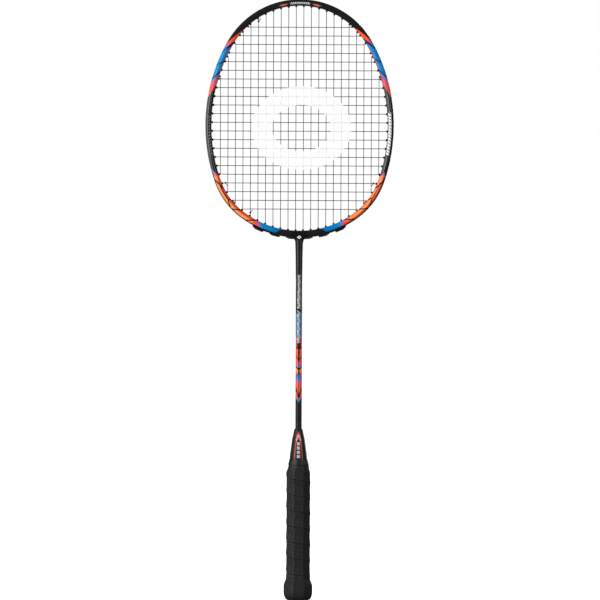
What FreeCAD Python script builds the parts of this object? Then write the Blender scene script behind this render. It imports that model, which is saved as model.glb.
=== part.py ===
"""Badminton racket, modelled upright in millimetres.

+Z runs up the racket from the butt to the crown of the head, the string bed
lies in the XZ plane, and the face towards -Y is the front.  The origin is the
centre of the butt's flat end.
"""
import FreeCAD, Part
import math
import os

import Sketcher

V = FreeCAD.Vector
DOC = FreeCAD.newDocument("badminton_racket")

# ---------------------------------------------------------------- driving sizes

SIZES = {
    # the whole racket and its head
    "overall_length": 675.0,
    "crown_radius": 93.3,
    "crown_angle": 60.9,
    "flank_radius": 192.6,
    "flank_angle": 48.7,
    "quarter_radius": 82.8,
    "quarter_angle": 33.9,
    # section of the head's tube
    "tube_width": 7.0,
    "tube_depth": 10.0,
    "tube_wall": 1.0,
    "tube_side_height": 6.0,
    "ridge_flat": 1.6,
    "groove_width": 2.7,
    "groove_depth": 1.5,
    "groove_end_reach": 53.0,
    "throat_gap": 17.0,
    # stringing
    "string_diameter": 0.7,
    "main_count": 22,
    "main_spacing": 8.47,
    "cross_count": 22,
    "cross_spacing": 9.725,
    "first_cross_drop": 31.3,
    "weave_height": 0.365,
    "string_parting": 0.45,
    # grommets
    "barrel_diameter": 2.6,
    "barrel_bore": 1.9,
    "barrel_reach": 1.4,
    "barrel_lean": 6.0,
    "strip_thickness": 0.35,
    "pad_height": 1.9,
    "running_gap": 0.05,
    # shaft and throat
    "shaft_diameter": 7.2,
    "shaft_bore": 4.8,
    "shaft_top": 404.0,
    "shaft_bottom": 55.0,
    "stem_bottom": 366.0,
    "tee_reach": 16.0,
    "neck_bottom": 362.0,
    "neck_radius": 4.25,
    "neck_half_depth": 4.4,
    # handle
    "cone_top": 193.2,
    "cone_wall": 1.5,
    "skirt_top": 158.0,
    "skirt_radius": 9.8,
    "skirt_lead": 0.15,
    "skirt_blend": 4.5,
    "core_top": 145.0,
    "core_bottom": 26.0,
    "core_hollow": 14.0,
    "core_hollow_depth": 20.0,
    "grip_half_width": 13.2,
    "grip_half_depth": 11.6,
    "grip_bevel": 7.3,
    "wrap_thickness": 1.6,
    "wrap_top": 152.4,
    "rim_half_width": 11.4,
    "rim_half_depth": 11.2,
    "rim_bevel": 6.6,
    "tape_top": 158.6,
    "flare_growth": 2.5,
    "flare_start": 24.3,
    "flare_full": 17.0,
    "flare_lowest": 10.2,
    "wrap_bottom": 5.2,
    "disc_diameter": 16.4,
    "disc_thickness": 1.2,
    "disc_stand": 0.3,
}


def make_sheet(values):
    """Write every driving size into the spreadsheet, one alias a row."""
    sheet = DOC.addObject("Spreadsheet::Sheet", "sizes")
    for row, (alias, value) in enumerate(values.items(), start=1):
        sheet.set(f"A{row}", alias)
        sheet.set(f"B{row}", str(value))
        sheet.setAlias(f"B{row}", alias)
    DOC.recompute()
    return sheet


SHEET = make_sheet(SIZES)


def size(alias):
    """Read one driving size back from the sheet."""
    return float(SHEET.get(alias))


# ---------------------------------------------------------------- shared helpers

def polar(heading):
    """Unit vector in the XZ plane, heading measured from +Z towards +X."""
    return V(math.sin(heading), 0, math.cos(heading))


def rounded(points, radii, closed=False):
    """Wire through the points, each corner rounded by a tangent arc.

    A radius is cut back where its tangent would pass 0.45 of a run beside it.
    """
    count = len(points)
    corners = range(count) if closed else range(1, count - 1)
    starts, ends, arcs = list(points), list(points), {}
    for index in corners:
        here, before, after = points[index], points[index - 1], points[(index + 1) % count]
        back, ahead = before - here, after - here
        run = min(back.Length, ahead.Length)
        back.normalize()
        ahead.normalize()
        turn = math.pi - back.getAngle(ahead)
        if radii[index] <= 0 or turn < 1e-4:
            continue
        reach = min(radii[index] * math.tan(turn / 2), 0.45 * run)
        radius = reach / math.tan(turn / 2)
        inward = back + ahead
        inward.normalize()
        middle = here + inward * (radius / math.cos(turn / 2) - radius)
        starts[index], ends[index] = here + back * reach, here + ahead * reach
        arcs[index] = Part.Arc(starts[index], middle, ends[index]).toShape()
    edges = []
    for index in range(count):
        if index in arcs:
            edges.append(arcs[index])
        following = (index + 1) % count
        if following or closed:
            edges.append(Part.LineSegment(ends[index], starts[following]).toShape())
    return Part.Wire(edges)


def feature(label, shape):
    """Place a finished shape in the document as one named sub-part."""
    item = DOC.addObject("Part::Feature", label)
    item.Label = label
    item.Shape = shape
    item.Placement = FreeCAD.Placement()
    return item


def mirrored(shape):
    """The same shape on the racket's left, across the YZ plane."""
    return shape.mirror(V(), V(1, 0, 0))


def joined(shapes):
    """Fuse shapes that meet face to face into one."""
    first, rest = shapes[0], shapes[1:]
    return first.multiFuse(rest).removeSplitter() if rest else first


def cylinder(radius, start, end):
    """Solid cylinder between two points."""
    run = end - start
    return Part.makeCylinder(radius, run.Length, start, run)


# ---------------------------------------------------------------- outline of the head

class Arc:
    """One round stretch of the head's outer outline, in the XZ plane."""

    def __init__(self, centre, radius, start, end):
        self.centre, self.radius, self.start, self.end = centre, radius, start, end

    def holds(self, heading):
        """Whether a heading falls on this arc."""
        return self.start - 1e-9 <= heading <= self.end + 1e-9

    def point(self, heading, depth):
        """Point of the arc at a heading, moved inwards by depth."""
        return self.centre + polar(heading) * (self.radius - depth)


def outline_arcs():
    """Right half of the outline, from the crown down to the throat.

    Four tangent arcs; the last one's radius closes the outline on the axis.
    """
    arcs, point, heading = [], V(0, 0, size("overall_length")), 0.0
    for name in ("crown", "flank", "quarter"):
        radius, turn = size(f"{name}_radius"), math.radians(size(f"{name}_angle"))
        arc = Arc(point - polar(heading) * radius, radius, heading, heading + turn)
        arcs.append(arc)
        heading += turn
        point = arc.point(heading, 0)
    radius = point.x / math.sin(heading)
    arcs.append(Arc(point - polar(heading) * radius, radius, heading, math.pi))
    return arcs


ARCS = outline_arcs()


def on_outline(heading, depth):
    """Point on the outline moved inwards by depth, at a heading of its normal."""
    arc = next(item for item in ARCS if item.holds(heading))
    return arc.point(heading, depth)


def heading_and_depth(point):
    """Where a point lies: its normal's heading, and its depth inside the outline."""
    found = []
    for arc in ARCS:
        run = point - arc.centre
        heading = math.atan2(run.x, run.z) % (2 * math.pi)
        if arc.holds(heading):
            found.append((heading, arc.radius - math.hypot(run.x, run.z)))
    return min(found, key=lambda pair: abs(pair[1]))


def heading_at_reach(reach, depth, upper):
    """Heading where the outline, moved in by depth, passes x = reach."""
    for arc in ARCS:
        sine = (reach - arc.centre.x) / (arc.radius - depth)
        if abs(sine) <= 1:
            heading = math.asin(sine) if upper else math.pi - math.asin(sine)
            if arc.holds(heading):
                return heading
    raise ValueError(f"no outline at x = {reach}")


def heading_at_height(height, depth):
    """Heading where the outline, moved in by depth, passes z = height."""
    for arc in ARCS:
        cosine = (height - arc.centre.z) / (arc.radius - depth)
        if abs(cosine) <= 1 and arc.holds(math.acos(cosine)):
            return math.acos(cosine)
    raise ValueError(f"no outline at z = {height}")


def along_outline(section, start, end):
    """Solid of a section carried round the outline from one heading to another.

    The section is a function of (arc, heading) that gives a face.
    """
    pieces = []
    for arc in ARCS:
        low, high = max(start, arc.start), min(end, arc.end)
        if high - low > 1e-6:
            face = section(arc, low)
            pieces.append(face.revolve(arc.centre, V(0, 1, 0), math.degrees(high - low)))
    return joined(pieces)


def section_wire(arc, heading, corners, radii):
    """Closed wire of (depth, y) corners, standing on the outline at a heading."""
    points = [arc.point(heading, depth) + V(0, y, 0) for depth, y in corners]
    return rounded(points, radii, closed=True)


def block_section(outer, inner, half_width, radius=0.0):
    """Section function of a plain rectangle between two depths."""
    corners = [(outer, half_width), (inner, half_width), (inner, -half_width), (outer, -half_width)]

    def section(arc, heading):
        return Part.Face(section_wire(arc, heading, corners, [radius] * 4))
    return section


# ---------------------------------------------------------------- head frame

# corner radii of the tube's section, and its wall at the front and back
RIDGE_RADIUS = 0.9
SHOULDER_RADIUS = 1.2
LIP_RADIUS = 0.25
CAVITY_RADIUS = 1.0
CAVITY_SIDE_WALL = 1.7


def tube_corners(grooved):
    """Corners and radii of the tube's outer section, as (depth, y)."""
    width, half_depth = size("tube_width"), size("tube_depth") / 2
    side, ridge = size("tube_side_height") / 2, size("ridge_flat") / 2
    front = [(0, side), (width / 2 - ridge, half_depth), (width / 2 + ridge, half_depth), (width, side)]
    corners = front + [(depth, -y) for depth, y in reversed(front)]
    radii = [SHOULDER_RADIUS, RIDGE_RADIUS, RIDGE_RADIUS, SHOULDER_RADIUS] * 2
    if grooved:
        half, floor = size("groove_width") / 2, size("groove_depth")
        corners += [(0, -half), (floor, -half), (floor, half), (0, half)]
        radii += [LIP_RADIUS, 0, 0, LIP_RADIUS]
    return corners, radii


def cavity_bounds(gap=0.0):
    """Outer depth, inner depth and half width of the hollow in the tube."""
    wall = size("tube_wall")
    half = size("tube_depth") / 2 - CAVITY_SIDE_WALL
    return size("groove_depth") + wall + gap, size("tube_width") - wall - gap, half - gap


def cavity_section(gap=0.0):
    """Section function of the hollow, or of a piece that fills it with a gap."""
    outer, inner, half = cavity_bounds(gap)
    return block_section(outer, inner, half, CAVITY_RADIUS - gap)


def tube_section(grooved, hollow=True):
    """Section function of the head's tube."""
    corners, radii = tube_corners(grooved)

    def section(arc, heading):
        face = Part.Face(section_wire(arc, heading, corners, radii))
        return face.cut(cavity_section()(arc, heading)).Faces[0] if hollow else face
    return section


def groove_end():
    """Heading where the string groove runs out, low on the head."""
    return heading_at_reach(size("groove_end_reach"), 0, upper=False)


def hoop_end():
    """Heading of the tube's end, inside the throat."""
    return heading_at_reach(size("throat_gap") / 2, size("tube_width") / 2, upper=False)


def build_head_frame(drills):
    """Hollow tube round the head, open at the throat and drilled for its grommets."""
    upper = along_outline(tube_section(grooved=True), 0.0, groove_end())
    lower = along_outline(tube_section(grooved=False), groove_end(), hoop_end())
    right = joined([upper, lower])
    hoop = joined([right, mirrored(right)])
    return hoop.cut(drills)


# ---------------------------------------------------------------- string plan

STRING_RADIUS = size("string_diameter") / 2
PARTING = size("string_parting")
WEAVE = size("weave_height")
MAINS = range(int(size("main_count")) // 2)
CROSSES = range(int(size("cross_count")))

# depths inside the outline: the mouth of a barrel, and the strings' outside runs,
# lifted so that their straight chords clear the curved strip
MOUTH_CLEARANCE = 0.25
MOUTH_DEPTH = size("tube_width") + size("barrel_reach") + MOUTH_CLEARANCE
CHORD_LIFT = 0.14
STRIP_FACE = size("groove_depth") - size("running_gap") - size("strip_thickness")
GROOVE_RUN = STRIP_FACE - STRING_RADIUS - CHORD_LIFT
PAD_RUN = -size("pad_height") - STRING_RADIUS - CHORD_LIFT

# two ends closer than the first share a barrel; crossings closer to a mouth than
# the second keep their sides, and closer than the third are left out
SHARING_DISTANCE = 2.6
NEAR_MOUTH = 3.2
ON_MOUTH = 0.9

# bends of the strings, and where a knot sits on the string that anchors it
LONGEST_SPAN = 11.0
SHARP_TURN = math.radians(30)
TURN_RADIUS = 0.9
CROSSING_RADIUS = 2.0
KNOT_START = 1.4
KNOT_WRAP = 2 * STRING_RADIUS + 0.05


class StringEnd:
    """Where one string passes through the tube on the racket's right half.

    mouth is the corner just inside the barrel, lip the barrel's inner end, and
    outlet the corner outside, where the string turns along the outline.
    """

    def __init__(self, heading, string_heading):
        lean = math.radians(size("barrel_lean"))
        self.heading = heading
        self.aim = heading + max(-lean, min(lean, string_heading - heading))
        self.mouth = on_outline(heading, MOUTH_DEPTH)

    def on_ray(self, depth):
        """Point of the barrel's axis at a depth inside the outline."""
        reach = 0.0
        for _ in range(8):
            heading, here = heading_and_depth(self.mouth + polar(self.aim) * reach)
            reach += (here - depth) / math.cos(self.aim - heading)
        return self.mouth + polar(self.aim) * reach

    def loop_depth(self):
        """Depth of the string's middle where it runs along the outside."""
        return GROOVE_RUN if self.heading < groove_end() else PAD_RUN

    def outlet(self):
        """Corner outside the frame, where the string turns along the outline."""
        return self.on_ray(self.loop_depth())




def main_reach(index):
    """Distance of a main string from the axis; index 0 is the innermost."""
    return size("main_spacing") * (index + 0.5)


def cross_height(index):
    """Height of a cross string; index 0 is the highest."""
    return size("overall_length") - size("first_cross_drop") - size("cross_spacing") * index


def plan_ends():
    """Every string end of the right half, and those that share a barrel.

    Keys are ("top", i) and ("bottom", i) for mains, ("side", j) for crosses.
    """
    ends = {}
    for index in MAINS:
        for place, string_heading in (("top", 0.0), ("bottom", math.pi)):
            heading = heading_at_reach(main_reach(index), MOUTH_DEPTH, place == "top")
            ends[place, index] = StringEnd(heading, string_heading)
    for index in CROSSES:
        heading = heading_at_height(cross_height(index), MOUTH_DEPTH)
        ends["side", index] = StringEnd(heading, math.pi / 2)
    order = sorted(ends, key=lambda key: ends[key].heading)
    for first, second in zip(order, order[1:]):
        if (ends[first].mouth - ends[second].mouth).Length < SHARING_DISTANCE:
            middle = (ends[first].heading + ends[second].heading) / 2
            ends[first] = ends[second] = StringEnd(middle, middle)
    return ends


ENDS = plan_ends()


def on_side(point, side, y=0.0):
    """A right-half point on the racket's right (1) or left (-1), at a y."""
    return V(point.x * side, y, point.z)


def weave_sign(main, side, cross):
    """+1 where the main passes behind the cross string, -1 where in front.

    Next to the frame the strings keep the sides on which they leave it.
    """
    point = V(main_reach(main), 0, cross_height(cross))
    mouths = [ENDS[key].mouth for key in (("top", main), ("bottom", main), ("side", cross))]
    if min((point - mouth).Length for mouth in mouths) < NEAR_MOUTH:
        return 1
    column = main if side > 0 else -1 - main
    return 1 if (column + cross) % 2 == 0 else -1


def crosses_over(main, cross):
    """Whether a main and a cross string pass each other inside the frame."""
    top, bottom = ENDS["top", main].mouth, ENDS["bottom", main].mouth
    inside = bottom.z < cross_height(cross) < top.z
    return inside and main_reach(main) < ENDS["side", cross].mouth.x


def main_run(main, side):
    """Route of one main string between its mouths, from the top down."""
    top = on_side(ENDS["top", main].mouth, side, PARTING)
    bottom = on_side(ENDS["bottom", main].mouth, side, PARTING)
    route = [top]
    for cross in CROSSES:
        if crosses_over(main, cross):
            y = WEAVE * weave_sign(main, side, cross)
            point = V(main_reach(main) * side, y, cross_height(cross))
            if min((point - top).Length, (point - bottom).Length) > ON_MOUTH:
                route.append(point)
    return route + [bottom]


def cross_run(cross):
    """Route of one cross string between its mouths, from left to right."""
    right = on_side(ENDS["side", cross].mouth, 1, -PARTING)
    left = on_side(ENDS["side", cross].mouth, -1, -PARTING)
    route = [left]
    columns = [(main, -1) for main in reversed(MAINS)] + [(main, 1) for main in MAINS]
    for main, side in columns:
        if crosses_over(main, cross):
            y = -WEAVE * weave_sign(main, side, cross)
            point = V(main_reach(main) * side, y, cross_height(cross))
            if min((point - left).Length, (point - right).Length) > ON_MOUTH:
                route.append(point)
    return route + [right]


def outer_run(start, end, side, y):
    """Route along the outside from one string end to another, with its corners."""
    from_point, to_point = start.outlet(), end.outlet()
    first, last = heading_and_depth(from_point)[0], heading_and_depth(to_point)[0]
    spans = math.ceil((to_point - from_point).Length / LONGEST_SPAN)
    route = [on_side(from_point, side, y)]
    for step in range(1, spans):
        heading = first + (last - first) * step / spans
        route.append(on_side(on_outline(heading, start.loop_depth()), side, y))
    return route + [on_side(to_point, side, y)]


# the barrels that tied strings come back through, and the runs that anchor them
TIE_TOP = ENDS["top", 5]
TIE_BOTTOM = ENDS["bottom", 6]
TIE_SIDE = ENDS["side", 18]
ANCHOR_TOP = main_run(5, -1)[:2]
ANCHOR_BOTTOM = main_run(6, -1)[:-3:-1]
ANCHOR_LEFT = cross_run(18)[:2]
ANCHOR_RIGHT = cross_run(18)[:-3:-1]


def knot_seat(anchor):
    """Where a knot starts on its anchor string, and the anchor's direction there.

    The anchor is the string's mouth and the next point of its run.
    """
    inward = anchor[1] - anchor[0]
    inward.normalize()
    return anchor[0] + inward * KNOT_START, inward


def tie_off(end, side, y, anchor):
    """Last points of a string that comes back in beside another and is knotted to it."""
    seat, _ = knot_seat(anchor)
    return [on_side(end.mouth, side, y), seat + V(0, math.copysign(KNOT_WRAP, y), 0)]


def half_main_route(side, anchor):
    """The main string on one side, from the crown's middle to its knot."""
    route = [on_side(ENDS["top", 0].outlet(), side, PARTING)]
    for main in MAINS:
        run = main_run(main, side)
        route += run if main % 2 == 0 else run[::-1]
        place = "bottom" if main % 2 == 0 else "top"
        if main + 1 in MAINS:
            route += outer_run(ENDS[place, main], ENDS[place, main + 1], side, PARTING)
    route += outer_run(ENDS["bottom", MAINS[-1]], TIE_SIDE, side, PARTING)
    return route + tie_off(TIE_SIDE, side, PARTING, anchor)


def main_route():
    """The whole main string, from its left knot over the crown to its right knot."""
    return half_main_route(-1, ANCHOR_LEFT)[::-1] + half_main_route(1, ANCHOR_RIGHT)


def cross_route():
    """The whole cross string, from its knot at the upper left to the lower left."""
    route = tie_off(TIE_TOP, -1, -PARTING, ANCHOR_TOP)[::-1]
    route += outer_run(TIE_TOP, ENDS["side", 0], -1, -PARTING)
    for cross in CROSSES:
        run = cross_run(cross)
        side = 1 if cross % 2 == 0 else -1
        route += run if side > 0 else run[::-1]
        if cross + 1 in CROSSES:
            route += outer_run(ENDS["side", cross], ENDS["side", cross + 1], side, -PARTING)
    route += outer_run(ENDS["side", CROSSES[-1]], TIE_BOTTOM, -1, -PARTING)
    return route + tie_off(TIE_BOTTOM, -1, -PARTING, ANCHOR_BOTTOM)


def string_solid(label, route):
    """Round string swept along its route of straight runs and tangent arcs."""
    radii = []
    for before, here, after in zip(route, route[1:], route[2:]):
        turn = (here - before).getAngle(after - here)
        radii.append(TURN_RADIUS if turn > SHARP_TURN else CROSSING_RADIUS)
    path = rounded(route, [0] + radii + [0])
    start = path.Edges[0]
    tangent = start.tangentAt(start.FirstParameter)
    circle = Part.Circle(start.valueAt(start.FirstParameter), tangent, STRING_RADIUS)
    solid = path.makePipeShell([Part.Wire(circle.toShape())], True, False)
    expected = math.pi * STRING_RADIUS ** 2 * path.Length
    print(f"{label}: {path.Length:.0f} mm long, volume {solid.Volume:.1f} of {expected:.1f} mm3")
    return solid


# ---------------------------------------------------------------- knots

KNOT_TURNS = 3
TURN_OVERLAP = 0.1

# each knot's anchor, the y of the string it ties, and its cut tail
KNOTS = {
    "knot_upper": (ANCHOR_TOP, -PARTING, V(3.0, -1.0, 3.4)),
    "knot_lower": (ANCHOR_BOTTOM, -PARTING, V(2.6, -0.8, 3.0)),
    "knot_left": (ANCHOR_LEFT, PARTING, V(2.2, 0.9, -3.2)),
    "knot_right": (ANCHOR_RIGHT, PARTING, V(-2.2, 0.9, -3.2)),
}


def build_knot(anchor, y, tail):
    """Turns of string round its anchor string, just inside the frame, and the cut tail."""
    seat, inward = knot_seat(anchor)
    spacing = 2 * STRING_RADIUS - TURN_OVERLAP
    centres = [seat + inward * (STRING_RADIUS + turn * spacing) for turn in range(KNOT_TURNS)]
    turns = [Part.makeTorus(KNOT_WRAP, STRING_RADIUS, centre, inward) for centre in centres]
    crest = centres[1] + V(0, math.copysign(KNOT_WRAP, y), 0)
    return joined(turns + [cylinder(STRING_RADIUS, crest, crest + tail)])


# ---------------------------------------------------------------- grommets

# headings in degrees between which each moulded strip lies
GROMMET_BANDS = {
    "crown": (7.0, 46.0),
    "shoulder": (46.0, 73.05),
    "upper_flank": (73.05, 93.6),
    "lower_flank": (93.6, 115.5),
    "quarter": (115.5, 151.0),
    "throat": (151.0, 178.4),
}
STRIP_MARGIN = math.radians(1.1)
THROAT_STRIP_HEIGHT = 0.9
THROAT_HALF_WIDTH = 1.6

# neighbouring mains whose loops are held off the frame by a pad
PADDED_PAIRS = ((0, 1), (2, 3), (4, 5))


def barrel_axis(end):
    """Inner and outer end of a barrel's axis."""
    lip = end.on_ray(MOUTH_DEPTH - MOUTH_CLEARANCE)
    if end.heading < groove_end():
        return lip, end.on_ray(size("groove_depth") - size("running_gap"))
    return lip, end.on_ray(-size("running_gap"))


def drill(end, radius):
    """Cylinder along a barrel's axis, long enough to go through the tube."""
    lip = end.on_ray(MOUTH_DEPTH + 1)
    return cylinder(radius, lip, end.on_ray(-size("pad_height") - 1))


def ends_between(low, high):
    """String ends whose headings lie in a band, each shared barrel once."""
    chosen = {id(end): end for end in ENDS.values() if low <= end.heading < high}
    return sorted(chosen.values(), key=lambda end: end.heading)


def groove_strip(low, high):
    """Thin strip on the groove's floor, between two headings."""
    inner = size("groove_depth") - size("running_gap")
    half = size("groove_width") / 2 - 2 * size("running_gap")
    return along_outline(block_section(STRIP_FACE, inner, half), low, high)


def throat_strip(low, high):
    """Strip on the outside of the lower head, raised into a pad under each loop."""
    gap = size("running_gap")
    base = along_outline(block_section(-THROAT_STRIP_HEIGHT, -gap, THROAT_HALF_WIDTH), low, high)
    pads = []
    for inner, outer in PADDED_PAIRS:
        start = ENDS["bottom", outer].heading - STRIP_MARGIN / 2
        end = min(ENDS["bottom", inner].heading + STRIP_MARGIN / 2, high)
        section = block_section(-size("pad_height"), -gap, THROAT_HALF_WIDTH)
        pads.append(along_outline(section, start, end))
    return joined([base] + pads)


def build_grommets(low, high, strip):
    """One moulded strip with its barrels, bored for the strings."""
    ends = ends_between(math.radians(low), math.radians(high))
    first = max(ends[0].heading - STRIP_MARGIN, math.radians(low))
    body = strip(first, min(ends[-1].heading + STRIP_MARGIN, math.radians(high)))
    barrels = [cylinder(size("barrel_diameter") / 2, *barrel_axis(end)) for end in ends]
    bores = [drill(end, size("barrel_bore") / 2) for end in ends]
    return joined([body] + barrels).cut(bores)


def build_start_grommets():
    """The pair of barrels at the crown, joined by a strip over the middle."""
    right = build_grommets(0.0, GROMMET_BANDS["crown"][0], lambda low, high: groove_strip(0.0, high))
    return joined([right, mirrored(right)])


def make_grommets():
    """Add every grommet strip to the document, the left ones as mirror images."""
    feature("start_grommets", build_start_grommets())
    for band, (low, high) in GROMMET_BANDS.items():
        strip = throat_strip if band == "throat" else groove_strip
        right = build_grommets(low, high, strip)
        feature(f"{band}_grommets_right", right)
        feature(f"{band}_grommets_left", mirrored(right))


def frame_drills():
    """Clearance cylinders for every barrel, on both sides."""
    radius = size("barrel_diameter") / 2 + 2 * size("running_gap")
    right = [drill(end, radius) for end in ends_between(0.0, math.pi)]
    return right + [mirrored(item) for item in right]


# ---------------------------------------------------------------- throat

# the neck's outline: (step out from the shaft, rise above the neck's foot), then
# (step out from the neck, rise above the head's lowest point), each with the radius
# that rounds its corner
NECK_FOOT = ((0.15, 0, 0), (0.45, 25, 6.0))
NECK_RISE = 36
NECK_FLARE = ((0.35, -5.5, 4.0), (1.6, -3.4, 2.0), (2.4, -1.0, 0.8), (2.4, 1.5, 0.8), (0, 3.3, 0.8))

# the cut round the throat's grommet strips: its first heading, and the room it
# leaves over the pads and past the strips' ends
SLOT_START = 170
SLOT_HEADROOM = 1.2
SLOT_END_ROOM = 0.05


def tee_shape(arm_gap, stem_radius):
    """Two arms inside the tube's lower ends and a stem down into the shaft."""
    reach = math.pi - math.radians(size("tee_reach"))
    arm = along_outline(cavity_section(arm_gap), reach, math.pi)
    outer, inner, _ = cavity_bounds()
    top = on_outline(math.pi, (outer + inner) / 2)
    stem = cylinder(stem_radius, V(0, 0, size("stem_bottom")), top)
    return joined([arm, mirrored(arm), stem])


def build_tee(drills):
    """Inner piece that joins the head's two ends to the shaft."""
    gap = size("running_gap")
    return tee_shape(gap, size("shaft_bore") / 2 - gap).cut(drills)


def neck_profile():
    """Right half of the neck's outline, from the shaft up into the head, with its radii."""
    shaft, neck = size("shaft_diameter") / 2, size("neck_radius")
    low, bottom = size("neck_bottom"), ARCS[-1].point(math.pi, 0).z
    foot = [(shaft + step, low + rise, radius) for step, rise, radius in NECK_FOOT]
    flare = [(neck + step, bottom + rise, radius) for step, rise, radius in NECK_FLARE]
    corners = [(0, low, 0)] + foot + [(neck, low + NECK_RISE, 6.0)] + flare
    corners.append((0, corners[-1][1], 0))
    return [V(r, 0, z) for r, z, _ in corners], [radius for _, _, radius in corners]


def build_throat_fairing(drills, shaft):
    """Carbon wrap that closes the head under the strings and runs down the shaft."""
    bridge = along_outline(tube_section(grooved=False, hollow=False), hoop_end(), math.pi)
    points, radii = neck_profile()
    neck = Part.Face(rounded(points, radii, closed=True)).revolve(V(), V(0, 0, 1), 360)
    half, top, side = size("neck_half_depth"), size("overall_length"), size("throat_gap")
    neck = neck.common(Part.makeBox(2 * side, 2 * half, top, V(-side, -half, 0)))
    gap = size("running_gap")
    slot_section = block_section(-size("pad_height") - SLOT_HEADROOM, 0.0, THROAT_HALF_WIDTH + gap)
    slot_end = math.radians(GROMMET_BANDS["throat"][1] + SLOT_END_ROOM)
    slot = along_outline(slot_section, math.radians(SLOT_START), slot_end)
    tee = tee_shape(-gap / 2, (size("shaft_bore") - gap) / 2)
    whole = joined([bridge, mirrored(bridge), neck])
    return whole.cut([tee, shaft, slot, mirrored(slot)] + drills)


# ---------------------------------------------------------------- bodies built from sketches

def body(label):
    """Empty body in the document, named as its sub-part."""
    item = DOC.addObject("PartDesign::Body", label)
    item.Label = label
    return item


def value(owner, expression):
    """Number that an expression on the sheet gives."""
    result = owner.evalExpression(expression)
    return float(getattr(result, "Value", result))


def sketch_on(owner, name, role, offset=None):
    """Empty sketch on one of the body's own origin planes, raised by an offset."""
    sketch = owner.newObject("Sketcher::SketchObject", name)
    plane = next(item for item in owner.Origin.OriginFeatures if item.Role == role)
    sketch.AttachmentSupport = [(plane, "")]
    sketch.MapMode = "FlatFace"
    if offset:
        sketch.setExpression("AttachmentOffset.Base.z", offset)
    return sketch


def bind_point(sketch, line, corner, axis, expression):
    """Tie one coordinate of a corner to the sheet."""
    number = value(sketch, expression)
    kind = f"Distance{axis}"
    if abs(number) < 1e-9:
        target = -2 if axis == "X" else -1
        sketch.addConstraint(Sketcher.Constraint("PointOnObject", line, corner, target))
    elif number > 0:
        index = sketch.addConstraint(Sketcher.Constraint(kind, -1, 1, line, corner, number))
        sketch.setExpression(f"Constraints[{index}]", expression)
    else:
        index = sketch.addConstraint(Sketcher.Constraint(kind, line, corner, -1, 1, -number))
        sketch.setExpression(f"Constraints[{index}]", f"-({expression})")


def draw_polygon(sketch, corners):
    """Closed polygon whose corners are pairs of expressions on the sheet."""
    points = [V(value(sketch, x), value(sketch, y), 0) for x, y in corners]
    count = len(points)
    for index in range(count):
        sketch.addGeometry(Part.LineSegment(points[index], points[(index + 1) % count]), False)
    for index in range(count):
        joint = Sketcher.Constraint("Coincident", index, 2, (index + 1) % count, 1)
        sketch.addConstraint(joint)
    for index, (x, y) in enumerate(corners):
        bind_point(sketch, index, 1, "X", x)
        bind_point(sketch, index, 1, "Y", y)
    return sketch


def draw_circle(sketch, radius):
    """Circle on the sketch's origin, its radius tied to the sheet."""
    circle = Part.Circle(V(), V(0, 0, 1), value(sketch, radius))
    index = sketch.addGeometry(circle, False)
    sketch.addConstraint(Sketcher.Constraint("Coincident", index, 3, -1, 1))
    tie = sketch.addConstraint(Sketcher.Constraint("Radius", index, value(sketch, radius)))
    sketch.setExpression(f"Constraints[{tie}]", radius)
    return sketch


def octagon(half_width, half_depth, bevel):
    """Corner expressions of an octagon with 45 degree bevels."""
    inset_x, inset_y = f"({half_width} - {bevel})", f"({half_depth} - {bevel})"
    quarter = [(inset_x, f"-({half_depth})"), (f"({half_width})", f"-{inset_y}")]
    right = quarter + [(f"({half_width})", inset_y), (inset_x, f"({half_depth})")]
    left = [(f"-({x})", y) for x, y in reversed(right)]
    return right + left


def grip_octagon(growth, shrink="0"):
    """Octagon of the grip grown outwards, or of the same with a wall taken off."""
    change = f"({growth}) - ({shrink})"
    width = f"(sizes.grip_half_width + {change})"
    depth = f"(sizes.grip_half_depth + {change})"
    bevel = f"(sizes.grip_bevel + 0.586 * ({change}))"
    return octagon(width, depth, bevel)


def pad(owner, sketch, length, name):
    """Pad upwards from a sketch."""
    item = owner.newObject("PartDesign::Pad", name)
    item.Profile = sketch
    item.setExpression("Length", length)
    return item


def cut_down(owner, sketch, length, name):
    """Pocket downwards from a sketch."""
    item = owner.newObject("PartDesign::Pocket", name)
    item.Profile = sketch
    item.setExpression("Length", length)
    return item


def revolve(owner, sketch, name):
    """Full turn of a sketch about its own vertical axis."""
    item = owner.newObject("PartDesign::Revolution", name)
    item.Profile = sketch
    item.ReferenceAxis = (sketch, ["V_Axis"])
    item.Angle = 360
    return item


def loft(owner, kind, sketches, name):
    """Ruled loft through sketches, added to or taken from the body."""
    item = owner.newObject(f"PartDesign::{kind}Loft", name)
    item.Profile = sketches[0]
    item.Sections = sketches[1:]
    item.Ruled = True
    return item


def make_shaft():
    """Carbon tube from the throat down into the handle."""
    owner = body("shaft")
    section = sketch_on(owner, "shaft_section", "XY_Plane", "sizes.shaft_bottom")
    draw_circle(section, "sizes.shaft_diameter / 2")
    draw_circle(section, "sizes.shaft_bore / 2")
    pad(owner, section, "sizes.shaft_top - sizes.shaft_bottom", "shaft_tube")
    return owner


# the cone's outside: (step out from the shaft, drop below the cone's top), the
# lower two of which have the wall's inside behind them
CONE_NOSE = ((0.55, 0), (1.5, 2.3), (1.85, 4.4))
CONE_FLANK = ((3.65, 12.9), (4.85, 22))
CONE_BORE_LENGTH = 6


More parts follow.
